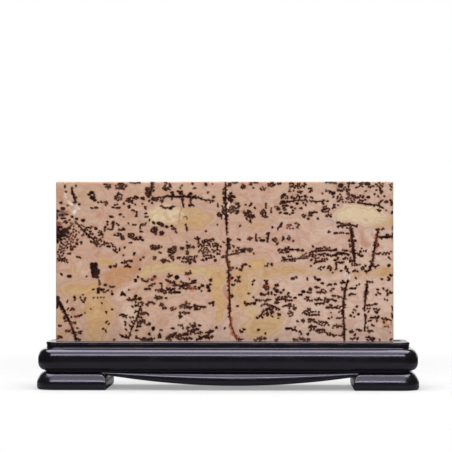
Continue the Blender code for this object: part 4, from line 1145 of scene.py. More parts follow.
def handled_surface_group():
    """Shared by the stone and the lacquer: smears left by hands that dull the gloss, and fine dust."""
    found = bpy.data.node_groups.get("handled_surface")
    if found:
        return found
    tree = bpy.data.node_groups.new("handled_surface", "ShaderNodeTree")
    for name, value in (("Roughness", 0.2), ("Smears", 0.08), ("Dust", 0.2)):
        socket = tree.interface.new_socket(name, in_out="INPUT", socket_type="NodeSocketFloat")
        socket.default_value = value
    for name in ("Roughness", "Dust"):
        tree.interface.new_socket(name, in_out="OUTPUT", socket_type="NodeSocketFloat")
    given = node(tree, "NodeGroupInput")
    result = node(tree, "NodeGroupOutput")
    place = object_coordinates(tree)
    wide = noise(tree, place, 38, 3, 0.6, 0.6)
    fine = noise(tree, stretched(tree, place, (0.35, 1, 1)), 3.5, 4, 0.65, 0.3)
    smear = maths(tree, "MULTIPLY", map_range(tree, wide, 0.42, 0.68), map_range(tree, fine, 0.3, 0.75))
    dulled = maths(tree, "MULTIPLY_ADD", smear, given.outputs["Smears"], given.outputs["Roughness"])
    tree.links.new(dulled, result.inputs["Roughness"])
    specks = node(tree, "ShaderNodeTexVoronoi", {"Vector": place, "Scale": 1 / (2.6 * MM)})
    grain = map_range(tree, specks.outputs["Distance"], 0.11, 0.05)
    patchy = map_range(tree, noise(tree, place, 22, 2), 0.4, 0.7)
    dust = maths(tree, "MULTIPLY", maths(tree, "MULTIPLY", grain, patchy), given.outputs["Dust"])
    tree.links.new(dust, result.inputs["Dust"])
    return tree


def handled_surface(tree, roughness, smears, dust):
    made = node(tree, "ShaderNodeGroup", node_tree=handled_surface_group())
    made.inputs["Roughness"].default_value = roughness
    made.inputs["Smears"].default_value = smears
    made.inputs["Dust"].default_value = dust
    return made.outputs["Roughness"], made.outputs["Dust"]


# Colours of the stone's patches, each with how ragged its edge is
PATCH_COLOURS = (
    ("pale", (0.475, 0.355, 0.280), 0.6),
    ("lilac", (0.400, 0.280, 0.245), 0.6),
    ("rose", (0.355, 0.180, 0.118), 0.6),
    ("orange", (0.375, 0.193, 0.092), 0.6),
    ("green", (0.425, 0.300, 0.150), 0.5),
    ("ochre", (0.395, 0.243, 0.115), 0.5),
    ("yellow", (0.440, 0.280, 0.110), 0.6),
    ("cream", (0.505, 0.395, 0.255), 0.5),
    ("calcite", (0.62, 0.59, 0.56), 1.6),
    ("rust", (0.27, 0.090, 0.042), 1.2),
    ("stain", (0.022, 0.013, 0.011), 1.5),
)

# Colours of the finer marks on the stone
FLOW_LINE_TINT = (0.325, 0.17, 0.115)
PATCH_RIM_TINT = (0.35, 0.215, 0.175)
HALO_TINT = (0.22, 0.11, 0.07)
RUSTY_EDGE_TINT = (0.22, 0.045, 0.020)
RUSTY_CORE_TINT = (0.085, 0.018, 0.010)
SPECK_TINT = (0.09, 0.035, 0.02)
CRACK_TINT = (0.19, 0.10, 0.065)
# Painted shade towards which the slab's edges are darkened
EDGE_PAINTED_SHADE_TINT = (0.1, 0.07, 0.055)
STONE_DUST_TINT = (0.75, 0.72, 0.70)

# Colours of the lacquer's wear and dust, and of the floor
WORN_DARK_TINT = (0.05, 0.028, 0.018)
WORN_PALE_TINT = (0.16, 0.10, 0.07)
LACQUER_DUST_TINT = (0.32, 0.30, 0.30)
PAPER_TINTS = ((0.38, 0.38, 0.383), (0.395, 0.395, 0.395))
PAINTED_FLOOR_SHADE = (0.02, 0.02, 0.02)


def stone_material(settings):
    """Polished dendritic limestone: banded ground, soft patches, and dendrites with a rusty halo."""
    made, tree, shader = new_material("polished_dendritic_stone")
    place = object_coordinates(tree)
    upright = stretched(tree, place, (1, 1, 1.5))
    broad = noise(tree, upright, 42, 3, 0.55, 0.8)
    medium = noise(tree, upright, 9, 4, 0.6, 1.2)
    fine = noise(tree, place, 1.4, 3, 0.6)
    ragged = maths(tree, "SUBTRACT", noise(tree, upright, 5, 5, 0.62, 0.8), 0.5)

    unevenly = map_range(tree, noise(tree, upright, 7, 3, 0.6, 0.7), 0.25, 0.6, 0.62, 1.0)

    ground = mix_colour(
        tree, map_range(tree, broad, 0.36, 0.64), opaque(settings.ground), opaque(settings.second_ground)
    )
    axes = node(tree, "ShaderNodeSeparateXYZ", {0: place}).outputs
    along = maths(tree, "MULTIPLY_ADD", maths(tree, "SUBTRACT", 0.1, axes[2]), 1.1, axes[0])
    wandering = maths(tree, "MULTIPLY_ADD", maths(tree, "SUBTRACT", broad, 0.5), 0.25, along)
    paler = map_range(tree, wandering, -0.06, 0.13)
    paler = maths(tree, "MULTIPLY_ADD", paler, 0.6, map_range(tree, medium, 0.35, 0.7, 0.0, 0.4), clamp=True)
    colour = mix_colour(tree, paler, ground, opaque(settings.pale_ground))
    for name, tint, raggedness in PATCH_COLOURS:
        strength = attribute(tree, name)
        torn = maths(tree, "MULTIPLY_ADD", ragged, raggedness, strength)
        share = maths(tree, "MULTIPLY", map_range(tree, torn, 0.0, 0.95), map_range(tree, strength, 0.0, 0.2))
        share = maths(tree, "MULTIPLY", share, unevenly)
        colour = mix_colour(tree, share, colour, opaque(tint))

    # Thin flow lines that follow the patches, as in banded stone
    flow = maths(tree, "ADD", attribute(tree, "ochre"), attribute(tree, "cream"))
    flow = maths(tree, "MULTIPLY_ADD", attribute(tree, "rose"), 0.7, flow)
    flow = maths(tree, "ADD", maths(tree, "ADD", attribute(tree, "green"), attribute(tree, "pale")), flow)
    flow = maths(tree, "MULTIPLY_ADD", broad, 3.0, flow)
    lines = maths(tree, "SINE", maths(tree, "MULTIPLY_ADD", medium, 2.0, maths(tree, "MULTIPLY", flow, 14.0)))
    lined = map_range(tree, lines, 0.4, 1.0, 0.0, 0.36)
    colour = mix_colour(tree, lined, colour, opaque(FLOW_LINE_TINT))
    pale_lined = map_range(tree, lines, -0.5, -1.0, 0.0, 0.2)
    colour = mix_colour(tree, pale_lined, colour, opaque(settings.pale_ground))

    # A rim round the warm patches, and a fine mottle over everything
    warm = maths(tree, "MAXIMUM", attribute(tree, "cream"), attribute(tree, "green"))
    for name in ("yellow", "ochre"):
        warm = maths(tree, "MAXIMUM", warm, attribute(tree, name))
    warm = maths(tree, "MULTIPLY_ADD", ragged, 0.35, warm)
    rim = maths(tree, "MULTIPLY", map_range(tree, warm, 0.0, 0.12), map_range(tree, warm, 0.38, 0.14))
    rim = maths(tree, "MULTIPLY", rim, map_range(tree, medium, 0.35, 0.65, 0.15, 0.65))
    colour = mix_colour(tree, rim, colour, opaque(PATCH_RIM_TINT))
    mottle = map_range(tree, fine, 0.25, 0.75, 0.93, 1.05)
    grey = node(tree, "ShaderNodeCombineColor", {0: mottle, 1: mottle, 2: mottle}).outputs[0]
    colour = mix_colour(tree, 1.0, colour, grey, "MULTIPLY")

    # Dendrites: near-black cores, brown edges and a faint rusty halo
    depth = attribute(tree, "dendrite")
    tooth = maths(tree, "SUBTRACT", noise(tree, place, 0.9, 3, 0.7), 0.5)
    depth = maths(tree, "MULTIPLY_ADD", tooth, 0.42, depth)
    strength = map_range(tree, noise(tree, place, 14, 2), 0.3, 0.6, 0.82, 1.0)
    halo = map_range(tree, depth, -1.1, 0.0, 0.0, 0.42)
    colour = mix_colour(tree, halo, colour, opaque(HALO_TINT))
    rim = maths(tree, "MULTIPLY", map_range(tree, depth, -0.22, 0.04), strength)
    rusty = map_range(tree, attribute(tree, "rust"), 0.08, 0.6)
    edge_tint = mix_colour(tree, rusty, opaque(settings.dendrite_edge), opaque(RUSTY_EDGE_TINT))
    core_tint = mix_colour(tree, rusty, opaque(settings.dendrite), opaque(RUSTY_CORE_TINT))
    colour = mix_colour(tree, rim, colour, edge_tint)
    core = maths(tree, "MULTIPLY", map_range(tree, depth, 0.0, 0.42), strength)
    colour = mix_colour(tree, core, colour, core_tint)

    # Where no dendrite was drawn, tiny scattered specks and hairline cracks
    specks = node(tree, "ShaderNodeTexVoronoi", {"Vector": place, "Scale": 1 / (7 * MM)}).outputs["Distance"]
    speckled = map_range(tree, specks, 0.075, 0.03, 0.0, 0.7)
    colour = mix_colour(tree, speckled, colour, opaque(SPECK_TINT))
    cracks = node(
        tree, "ShaderNodeTexVoronoi", {"Vector": upright, "Scale": 1 / (26 * MM)}, feature="DISTANCE_TO_EDGE"
    ).outputs["Distance"]
    crack = map_range(tree, cracks, 0.012, 0.002, 0.0, 0.28)
    crack = maths(tree, "MULTIPLY", crack, map_range(tree, broad, 0.5, 0.62))
    colour = mix_colour(tree, crack, colour, opaque(CRACK_TINT))

    roughness, dust = handled_surface(tree, settings.roughness, 0.05, 0.03)
    edge = attribute(tree, "edge")
    roughness = maths(tree, "MULTIPLY_ADD", edge, 0.3, roughness)
    # Painted shade: the slab's edges, the top arris too, are darkened towards a dark brown to hold down the
    # top light on them
    painted_edge_shade = map_range(tree, edge, 0.0, 0.35, 0.0, 0.55)
    colour = mix_colour(tree, painted_edge_shade, colour, opaque(EDGE_PAINTED_SHADE_TINT))
    colour = mix_colour(tree, dust, colour, opaque(STONE_DUST_TINT))
    tree.links.new(colour, shader.inputs["Base Color"])
    tree.links.new(roughness, shader.inputs["Roughness"])
    sawn = maths(tree, "MULTIPLY", noise(tree, place, 1.1, 3, 0.6), 0.6)
    height = maths(tree, "MULTIPLY_ADD", edge, sawn, maths(tree, "MULTIPLY", fine, 0.12))
    bump = node(tree, "ShaderNodeBump", {"Strength": 0.2, "Distance": 0.1 * MM, "Height": height})
    tree.links.new(bump.outputs[0], shader.inputs["Normal"])
    shader.inputs["IOR"].default_value = 1.52
    return made


def lacquer_material(settings):
    """Black lacquered wood: brushed-on gloss with fine lengthwise streaks, worn brown along its edges."""
    made, tree, shader = new_material("black_lacquer")
    place = object_coordinates(tree)
    wear = attribute(tree, "wear")
    chipped = noise(tree, place, 2.2, 5, 0.7, 0.4)
    patchy = map_range(tree, noise(tree, place, 16, 3, 0.6), 0.38, 0.66)
    chips = maths(tree, "MULTIPLY_ADD", chipped, 0.9, wear)
    worn = maths(tree, "MULTIPLY", map_range(tree, chips, 0.75, 1.25), patchy)
    streak = noise(tree, stretched(tree, place, (0.035, 1, 1)), 1.6, 4, 0.6)
    tone = mix_colour(
        tree, map_range(tree, streak, 0.35, 0.7), opaque(settings.lacquer), opaque(settings.lacquer_light)
    )
    brown = mix_colour(tree, chipped, opaque(WORN_DARK_TINT), opaque(WORN_PALE_TINT))
    colour = mix_colour(tree, maths(tree, "MULTIPLY", worn, 0.45), tone, brown)
    roughness, dust = handled_surface(tree, settings.roughness, 0.14, 0.5)
    colour = mix_colour(tree, maths(tree, "MULTIPLY", dust, 0.35), colour, opaque(LACQUER_DUST_TINT))
    roughness = maths(tree, "MULTIPLY_ADD", worn, 0.3, roughness)
    tree.links.new(colour, shader.inputs["Base Color"])
    tree.links.new(roughness, shader.inputs["Roughness"])
    ripple = noise(tree, stretched(tree, place, (0.25, 1, 1)), 12, 2, 0.5)
    height = maths(tree, "MULTIPLY_ADD", streak, 0.35, ripple)
    bump = node(tree, "ShaderNodeBump", {"Strength": 0.16, "Distance": 0.2 * MM, "Height": height})
    tree.links.new(bump.outputs[0], shader.inputs["Normal"])
    shader.inputs["Specular Tint"].default_value = opaque(settings.gloss_tint)
    shader.inputs["IOR"].default_value = 1.62
    return made


def rounded_rectangle(low_x, high_x, half_depth, left_radius, right_radius, left_steps, right_steps, z):
    """One level outline in metres, counter-clockwise from above. Each end has its own corner radius."""
    corners = (
        (high_x, half_depth, right_radius, right_steps, 0),
        (low_x, half_depth, left_radius, left_steps, 90),
        (low_x, -half_depth, left_radius, left_steps, 180),
        (high_x, -half_depth, right_radius, right_steps, 270),
    )
    outline = []
    for corner_x, corner_y, radius, steps, start in corners:
        centre_x = corner_x - math.copysign(radius, corner_x - (low_x + high_x) / 2)
        centre_y = corner_y - math.copysign(radius, corner_y)
        for step in range(steps + 1):
            turn = math.radians(start + 90 * step / steps)
            x = centre_x + radius * math.cos(turn)
            y = centre_y + radius * math.sin(turn)
            outline.append(Vector((x, y, z)))
    return outline


def quarter(inset_from, z_from, inset_to, z_to, bulging_first, power=2.0, steps=CURVE_STEPS):
    """Quarter of an ellipse between two (inset, height) points, without its first point."""
    points = []
    for step in range(1, steps + 1):
        turn = math.radians(90 * step / steps)
        along = math.sin(turn) ** (2 / power)
        across = 1 - math.cos(turn) ** (2 / power)
        if not bulging_first:
            along, across = across, along
        points.append((inset_from + (inset_to - inset_from) * across, z_from + (z_to - z_from) * along))
    return points


def divide_runs(sections, longest):
    """The same closed outlines with their long straight runs divided, all alike."""
    first = sections[0]
    runs = [(first[(index + 1) % len(first)] - point).length for index, point in enumerate(first)]
    pieces = [max(1, round(run / longest)) for run in runs]
    divided = []
    for outline in sections:
        points = []
        for index, point in enumerate(outline):
            after = outline[(index + 1) % len(outline)]
            points += [point.lerp(after, part / pieces[index]) for part in range(pieces[index])]
        divided.append(points)
    return divided


def loft(name, sections):
    """A closed mesh through sections of equal point counts, with a flat cap at each end."""
    bm = bmesh.new()
    rings = [[bm.verts.new(point) for point in section] for section in sections]
    for ring, after in zip(rings[:-1], rings[1:]):
        for index in range(len(ring)):
            other = (index + 1) % len(ring)
            bm.faces.new((ring[index], ring[other], after[other], after[index]))
    bm.faces.new(rings[0])
    bm.faces.new(rings[-1])
    bmesh.ops.recalc_face_normals(bm, faces=bm.faces)
    mesh = bpy.data.meshes.new(name)
    bm.to_mesh(mesh)
    bm.free()
    return mesh


def new_object(name, mesh):
    made = bpy.data.objects.new(name, mesh)
    bpy.context.scene.collection.objects.link(made)
    return made


def cut_away(piece, cutters):
    """Boolean differences, each applied before the next. The cutters are removed."""
    for cutter in cutters:
        difference = piece.modifiers.new("cut", "BOOLEAN")
        difference.operation = "DIFFERENCE"
        difference.solver = "EXACT"
        difference.object = cutter
        bpy.context.view_layer.update()
        shape = bpy.data.meshes.new_from_object(piece.evaluated_get(bpy.context.evaluated_depsgraph_get()))
        piece.modifiers.remove(difference)
        piece.data = shape
        bpy.data.objects.remove(cutter)


def box_object(name, low, high):
    mesh = bpy.data.meshes.new(name)
    bm = bmesh.new()
    bmesh.ops.create_cube(bm, size=1.0)
    size = Vector(high) - Vector(low)
    bmesh.ops.scale(bm, vec=size, verts=bm.verts)
    bmesh.ops.translate(bm, vec=(Vector(high) + Vector(low)) / 2, verts=bm.verts)
    bm.to_mesh(mesh)
    bm.free()
    return new_object(name, mesh)


def board_profile():
    """The moulding round the board from the bottom up: (inset, height over its underside) in millimetres."""
    top = (BOARD_HIGH.z - BOARD_LOW.z) / MM
    profile = [
        (FILLET_INSET + FILLET_BEVEL, 0.0),
        (FILLET_INSET, FILLET_BEVEL),
        (FILLET_INSET, FILLET_TOP),
        (QUIRK_INSET, FILLET_TOP),
        (QUIRK_INSET, QUIRK_TOP),
        (BELLY_FOOT_INSET, QUIRK_TOP),
    ]
    profile += quarter(BELLY_FOOT_INSET, QUIRK_TOP, 0, BELLY_WIDEST_LOW, bulging_first=False)
    profile.append((0, BELLY_WIDEST_HIGH))
    profile += quarter(0, BELLY_WIDEST_HIGH, SHOULDER_INSET, SHOULDER_TOP, True, SHOULDER_POWER)
    profile += [
        (SHOULDER_INSET + LEDGE_RUN, SHOULDER_TOP + LEDGE_RISE),
        (NECK_INSET - NECK_BEVEL, SHOULDER_TOP + LEDGE_END_RISE),
        (NECK_INSET, NECK_LOW),
        (NECK_INSET, NECK_HIGH),
        (NECK_INSET - RIM_BEVEL, NECK_HIGH + NECK_BEVEL),
        (RIM_INSET + RIM_BEVEL, RIM_LOW - NECK_BEVEL),
        (RIM_INSET, RIM_LOW),
        (RIM_INSET, top - RIM_ROUND),
    ]
    profile += quarter(RIM_INSET, top - RIM_ROUND, RIM_INSET + RIM_ROUND, top, True, steps=4)
    return profile


def finish_piece(name, mesh, material, nodes, smooth_angle):
    """Shade a finished mesh, give it its material, hang it under the root body, and hide the CAD nodes that it
    stands for.
    """
    for polygon in mesh.polygons:
        polygon.use_smooth = True
    mesh.set_sharp_from_angle(angle=math.radians(smooth_angle))
    mesh.materials.clear()
    mesh.materials.append(material)
    mesh.name = name
    piece = bpy.data.objects.get(name) or new_object(name, mesh)
    piece.data = mesh
    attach(piece, "root")
    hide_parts(*nodes)
    return piece


def add_wear(mesh, extra=None):
    """How proud each point of the surface stands, from the fold of the edges round it, softened once."""
    bm = bmesh.new()
    bm.from_mesh(mesh)
    bm.verts.ensure_lookup_table()
    folds = np.zeros(len(bm.verts))
    for edge in bm.edges:
        if len(edge.link_faces) != 2:
            continue
        angle = edge.calc_face_angle_signed(0.0)
        if angle > math.radians(WORN_FROM_FOLD):
            for vert in edge.verts:
                folds[vert.index] = max(folds[vert.index], angle / math.radians(FULLY_WORN_FOLD))
    soft = folds.copy()
    for vert in bm.verts:
        around = [folds[edge.other_vert(vert).index] for edge in vert.link_edges]
        soft[vert.index] = 0.6 * folds[vert.index] + 0.4 * sum(around) / max(len(around), 1)
    if extra:
        soft += np.array([extra(vert.co) for vert in bm.verts])
    bm.free()
    add_attribute(mesh, "wear", np.clip(soft, 0, WEAR_LIMIT))


def moulded_block_group():
    """Geometry nodes: a moulding swept round a rounded rectangle and closed, with a groove cut in its top."""
    tree = bpy.data.node_groups.new("moulded_block", "GeometryNodeTree")
    for name, kind in (
        ("Profile", "Object"),
        ("Length", "Float"),
        ("Depth", "Float"),
        ("Corner radius", "Float"),
        ("Corner steps", "Int"),
        ("Underside", "Float"),
        ("Top", "Float"),
        ("Groove size", "Vector"),
        ("Groove centre", "Vector"),
        ("Material", "Material"),
    ):
        tree.interface.new_socket(name, in_out="INPUT", socket_type="NodeSocket" + kind)
    tree.interface.new_socket("Geometry", in_out="OUTPUT", socket_type="NodeSocketGeometry")
    given = node(tree, "NodeGroupInput").outputs

    outline = node(
        tree, "GeometryNodeCurvePrimitiveQuadrilateral", {"Width": given["Length"], "Height": given["Depth"]}
    ).outputs[0]
    outline = node(
        tree,
        "GeometryNodeFilletCurve",
        {"Curve": outline, "Count": given["Corner steps"], "Radius": given["Corner radius"]},
        mode="POLY",
    ).outputs[0]
    outline = node(tree, "GeometryNodeSetCurveNormal", {"Curve": outline}, mode="Z_UP").outputs[0]
    profile = node(tree, "GeometryNodeObjectInfo", {"Object": given["Profile"]}).outputs["Geometry"]
    swept = node(tree, "GeometryNodeCurveToMesh", {"Curve": outline, "Profile Curve": profile}).outputs[0]
    swept = node(tree, "GeometryNodeFlipFaces", {0: swept}).outputs[0]

    position = node(tree, "GeometryNodeInputPosition").outputs[0]
    level = node(tree, "ShaderNodeSeparateXYZ", {0: position}).outputs[2]
    middle = maths(tree, "MULTIPLY", maths(tree, "ADD", given["Underside"], given["Top"]), 0.5)
    faces = node(tree, "GeometryNodeInputMeshEdgeNeighbors").outputs[0]
    border = maths(tree, "LESS_THAN", faces, 1.5)
    parts = [swept]
    for side, height in (("LESS_THAN", given["Underside"]), ("GREATER_THAN", given["Top"])):
        chosen = maths(tree, "MULTIPLY", border, maths(tree, side, level, middle))
        rim = node(tree, "GeometryNodeMeshToCurve", {"Mesh": swept, "Selection": chosen}).outputs[0]
        cap = node(tree, "GeometryNodeFillCurve", {"Curve": rim}, mode="NGONS").outputs[0]
        lift = node(tree, "ShaderNodeCombineXYZ", {2: height}).outputs[0]
        cap = node(tree, "GeometryNodeSetPosition", {"Geometry": cap, "Offset": lift}).outputs[0]
        parts.append(node(tree, "GeometryNodeFlipFaces", {0: cap}).outputs[0] if side == "LESS_THAN" else cap)
    joined = node(tree, "GeometryNodeJoinGeometry")
    for part in parts:
        tree.links.new(part, joined.inputs[0])
    doubles = {"Geometry": joined.outputs[0], "Distance": DOUBLES_GAP * MM}
    block = node(tree, "GeometryNodeMergeByDistance", doubles).outputs[0]

    groove = node(tree, "GeometryNodeMeshCube", {"Size": given["Groove size"]}).outputs[0]
    place = {"Geometry": groove, "Translation": given["Groove centre"]}
    groove = node(tree, "GeometryNodeTransform", place).outputs[0]
    cut = node(tree, "GeometryNodeMeshBoolean", operation="DIFFERENCE", solver="EXACT")
    tree.links.new(block, cut.inputs["Mesh 1"])
    tree.links.new(groove, cut.inputs["Mesh 2"])
    whole = node(tree, "GeometryNodeRealizeInstances", {0: cut.outputs[0]}).outputs[0]
    finish = {"Geometry": whole, "Material": given["Material"]}
    whole = node(tree, "GeometryNodeSetMaterial", finish).outputs[0]
    tree.links.new(whole, node(tree, "NodeGroupOutput").inputs[0])
    return tree


def make_board_mesh(finish):
    """The moulded board with the groove for the slab, made by geometry nodes and kept as a plain mesh."""
    size = BOARD_HIGH - BOARD_LOW
    line = bpy.data.curves.new("board_profile", "CURVE")
    line.dimensions = "3D"
    spline = line.splines.new("POLY")
    profile = board_profile()
    spline.points.add(len(profile) - 1)
    for point, (inset, height) in zip(spline.points, profile):
        point.co = (-inset * MM, -(BOARD_LOW.z + height * MM), 0, 1)
    guide = new_object("board_profile", line)
    groove_floor = BOARD_HIGH.z - GROOVE_DEPTH * MM
    groove_top = BOARD_HIGH.z + GROOVE_CUT_OVER * MM
    groove_width = SLAB_HIGH.y - SLAB_LOW.y + 2 * GROOVE_GAP * MM
    values = {
        "Profile": guide,
        "Length": size.x,
        "Depth": size.y,
        "Corner radius": BOARD_CORNER_RADIUS * MM,
        "Corner steps": BOARD_CORNER_STEPS,
        "Underside": BOARD_LOW.z,
        "Top": BOARD_HIGH.z,
        "Groove size": (GROOVE_LENGTH * MM, groove_width, groove_top - groove_floor),
        "Groove centre": (0, 0, (groove_top + groove_floor) / 2),
        "Material": finish,
    }
    board = new_object("moulded_board", bpy.data.meshes.new("moulded_board"))
    maker = board.modifiers.new("moulded block", "NODES")
    maker.node_group = moulded_block_group()
    for socket in maker.node_group.interface.items_tree:
        if socket.in_out == "INPUT":
            maker[socket.identifier] = values[socket.name]
    bpy.context.view_layer.update()
    shape = bpy.data.meshes.new_from_object(board.evaluated_get(bpy.context.evaluated_depsgraph_get()))
    board.modifiers.remove(maker)
    board.data = shape
    bpy.data.objects.remove(guide)
    return shape


def foot_sections(side, growth=0.0):
    """The outlines of one foot from its sole up, in metres. Growth makes a larger copy for a cutter."""
    if side < 0:
        low_corner, high_corner = LEFT_FOOT_LOW, LEFT_FOOT_HIGH
    else:
        low_corner, high_corner = RIGHT_FOOT_LOW, RIGHT_FOOT_HIGH
    top = high_corner.z / MM
    profile = [(FOOT_SOLE_INSET, 0.0)]
    profile += quarter(FOOT_SOLE_INSET, 0.0, 0, FOOT_WIDEST_LOW, bulging_first=False, steps=8)
    profile.append((0, FOOT_WIDEST_HIGH))
    profile += quarter(0, FOOT_WIDEST_HIGH, FOOT_TOP_INSET, top, True, FOOT_SHOULDER_POWER)
    if growth:
        profile = [(profile[0][0], -5.0)] + profile + [(profile[-1][0], top + 5.0)]
    sections = []
    for inset, height in profile:
        low = low_corner.x + (inset - growth) * MM
        high = high_corner.x - (inset - growth) * MM
        outer = (FOOT_OUTER_RADIUS - inset + growth) * MM
        radii = (outer, FOOT_INNER_RADIUS * MM) if side < 0 else (FOOT_INNER_RADIUS * MM, outer)
        steps = (FOOT_CORNER_STEPS, 4) if side < 0 else (4, FOOT_CORNER_STEPS)
        half_depth = high_corner.y - (inset - growth) * MM
        outline = rounded_rectangle(low, high, half_depth, *radii, *steps, height * MM)
        sections.append(outline)
    return divide_runs(sections, FOOT_RUN * MM)


def apron_section(x, facing):
    """The apron's closed outline across the stand at x, in metres. Facing is -1 for the front apron."""
    top = APRON_HIGH.z / MM
    lowest = APRON_LOW.z / MM
    bottom = lowest + APRON_ARC_RADIUS - math.sqrt(APRON_ARC_RADIUS**2 - (x / MM - APRON_ARC_X) ** 2)
    bottom = min(bottom, top - APRON_LEAST)
    belly = APRON_BELLY * ((top - bottom) / (top - lowest)) ** APRON_BELLY_POWER
    face = LEFT_FOOT_HIGH.y / MM - FOOT_TOP_INSET
    back = face - APRON_THICKNESS
    widest = bottom + APRON_WIDEST_SHARE * (top - bottom)
    edge_round = min(APRON_EDGE_ROUND, 0.4 * (top - bottom))
    outline = [(back, top), (face, top)]
    for step in range(1, CURVE_STEPS + 1):
        turn = math.radians(90 * step / CURVE_STEPS)
        outline.append((face + belly * math.sin(turn), widest + (top - widest) * math.cos(turn)))
    for step in range(1, CURVE_STEPS + 1):
        turn = math.radians(90 * step / CURVE_STEPS)
        outline.append(
            (face + belly - edge_round * (1 - math.cos(turn)), widest - (widest - bottom) * math.sin(turn))
        )
    outline.append((back + 0.5, bottom))
    outline.append((back, bottom + 0.2 * min(1, top - bottom)))
    return [Vector((x, facing * depth * MM, height * MM)) for depth, height in outline]


def make_apron_mesh(name, facing):
    low = APRON_LOW.x - APRON_LAP * MM
    high = APRON_HIGH.x + APRON_LAP * MM
    places = [low + (high - low) * step / APRON_SECTIONS for step in range(APRON_SECTIONS + 1)]
    apron = new_object(name, loft(name, [apron_section(x, facing) for x in places]))
    cutters = []
    for side in (-1, 1):
        end = f"end {side}"
        cutters.append(new_object(end, loft(end, foot_sections(side, TOUCH_GAP))))
    cut_away(apron, cutters)
    return apron.data


def softbox(name, width, height, distance, elevation, radiance):
    """A rectangular studio light in front of or over the object, which it faces, of this brightness."""
    light = bpy.data.lights.new(name, "AREA")
    light.shape = "RECTANGLE"
    light.size = width
    light.size_y = height
    light.energy = radiance * math.pi * width * height
    made = bpy.data.objects.new(name, light)
    bpy.context.scene.collection.objects.link(made)
    up = math.radians(elevation)
    away = Vector((0, -math.cos(up), math.sin(up)))
    made.location = Vector((0, 0, LIGHT_AIM_HEIGHT)) + distance * away
    made.rotation_euler = (math.radians(90 - elevation), 0, 0)
    return made


def floor_material(settings):
    """Matt white paper under the object. The camera sees it turn evenly white towards the horizon, and near
    the object it sees a share of glowing white, painted light that lifts the shadows under the stand. Other
    rays see it fade to dark grey away from the object, and gloss sees it mostly dark grey everywhere, painted
    shade in its reflections."""
    made, tree, shader = new_material("white_paper")
    place = object_coordinates(tree)
    fibre = noise(tree, place, 0.6, 3, 0.6)
    cloudy = noise(tree, place, 60, 2)
    tone = mix_colour(tree, map_range(tree, cloudy, 0.3, 0.7), *(opaque(tint) for tint in PAPER_TINTS))
    tree.links.new(tone, shader.inputs["Base Color"])
    shader.inputs["Roughness"].default_value = 0.8
    shader.inputs["Specular IOR Level"].default_value = 0.2
    bump = node(tree, "ShaderNodeBump", {"Strength": 0.05, "Distance": 0.05 * MM, "Height": fibre})
    tree.links.new(bump.outputs[0], shader.inputs["Normal"])
    away = node(tree, "ShaderNodeVectorMath", {0: place}, operation="LENGTH").outputs["Value"]
    white = node(tree, "ShaderNodeEmission", {"Color": (1, 1, 1, 1), "Strength": settings.horizon})
    path = node(tree, "ShaderNodeLightPath").outputs
    seen = path["Is Camera Ray"]
    # Painted light: near the object the camera also sees a share of glowing white, which lifts the shadows
    # there
    share = maths(tree, "MULTIPLY", map_range(tree, away, FLOOR_LIT, FLOOR_WHITE, FLOOR_FILL, 1.0), seen)
    blended = node(tree, "ShaderNodeMixShader", {0: share, 1: shader.outputs[0], 2: white.outputs[0]})
    unseen = maths(tree, "SUBTRACT", 1.0, seen)
    dark = node(tree, "ShaderNodeBsdfDiffuse", {"Color": opaque(PAINTED_FLOOR_SHADE)})
    fallen = maths(tree, "MULTIPLY", map_range(tree, away, FLOOR_NEAR, FLOOR_DARK), unseen)
    # Painted shade: gloss sees the floor mostly dark grey, which darkens its reflection in the lacquer
    glossed = maths(tree, "MULTIPLY", path["Is Glossy Ray"], FLOOR_GLOSSED)
    fallen = maths(tree, "MAXIMUM", fallen, glossed)
    blended = node(tree, "ShaderNodeMixShader", {0: fallen, 1: blended.outputs[0], 2: dark.outputs[0]})
    output = next(item for item in tree.nodes if item.type == "OUTPUT_MATERIAL")
    tree.links.new(blended.outputs[0], output.inputs["Surface"])
    return made


def backdrop_material(settings):
    made, tree, shader = new_material("white_backdrop")
    tree.nodes.remove(shader)
    white = node(tree, "ShaderNodeEmission", {"Color": (1, 1, 1, 1), "Strength": settings.backdrop})
    output = next(item for item in tree.nodes if item.type == "OUTPUT_MATERIAL")
    tree.links.new(white.outputs[0], output.inputs["Surface"])
    return made


def make_world(settings):
    """White behind everything that the camera sees, and only a weak even light otherwise."""
    world = bpy.data.worlds.new("studio")
    bpy.context.scene.world = world
    world.use_nodes = True
    tree = world.node_tree
    tree.nodes.clear()
    camera_ray = node(tree, "ShaderNodeLightPath").outputs["Is Camera Ray"]
    weak = node(tree, "ShaderNodeBackground", {"Color": (0.96, 0.97, 1.0, 1), "Strength": settings.ambient})
    white = node(tree, "ShaderNodeBackground", {"Color": (1, 1, 1, 1), "Strength": 1.0})
    seen = node(tree, "ShaderNodeMixShader", {0: camera_ray, 1: weak.outputs[0], 2: white.outputs[0]})
    output = node(tree, "ShaderNodeOutputWorld")
    tree.links.new(seen.outputs[0], output.inputs["Surface"])


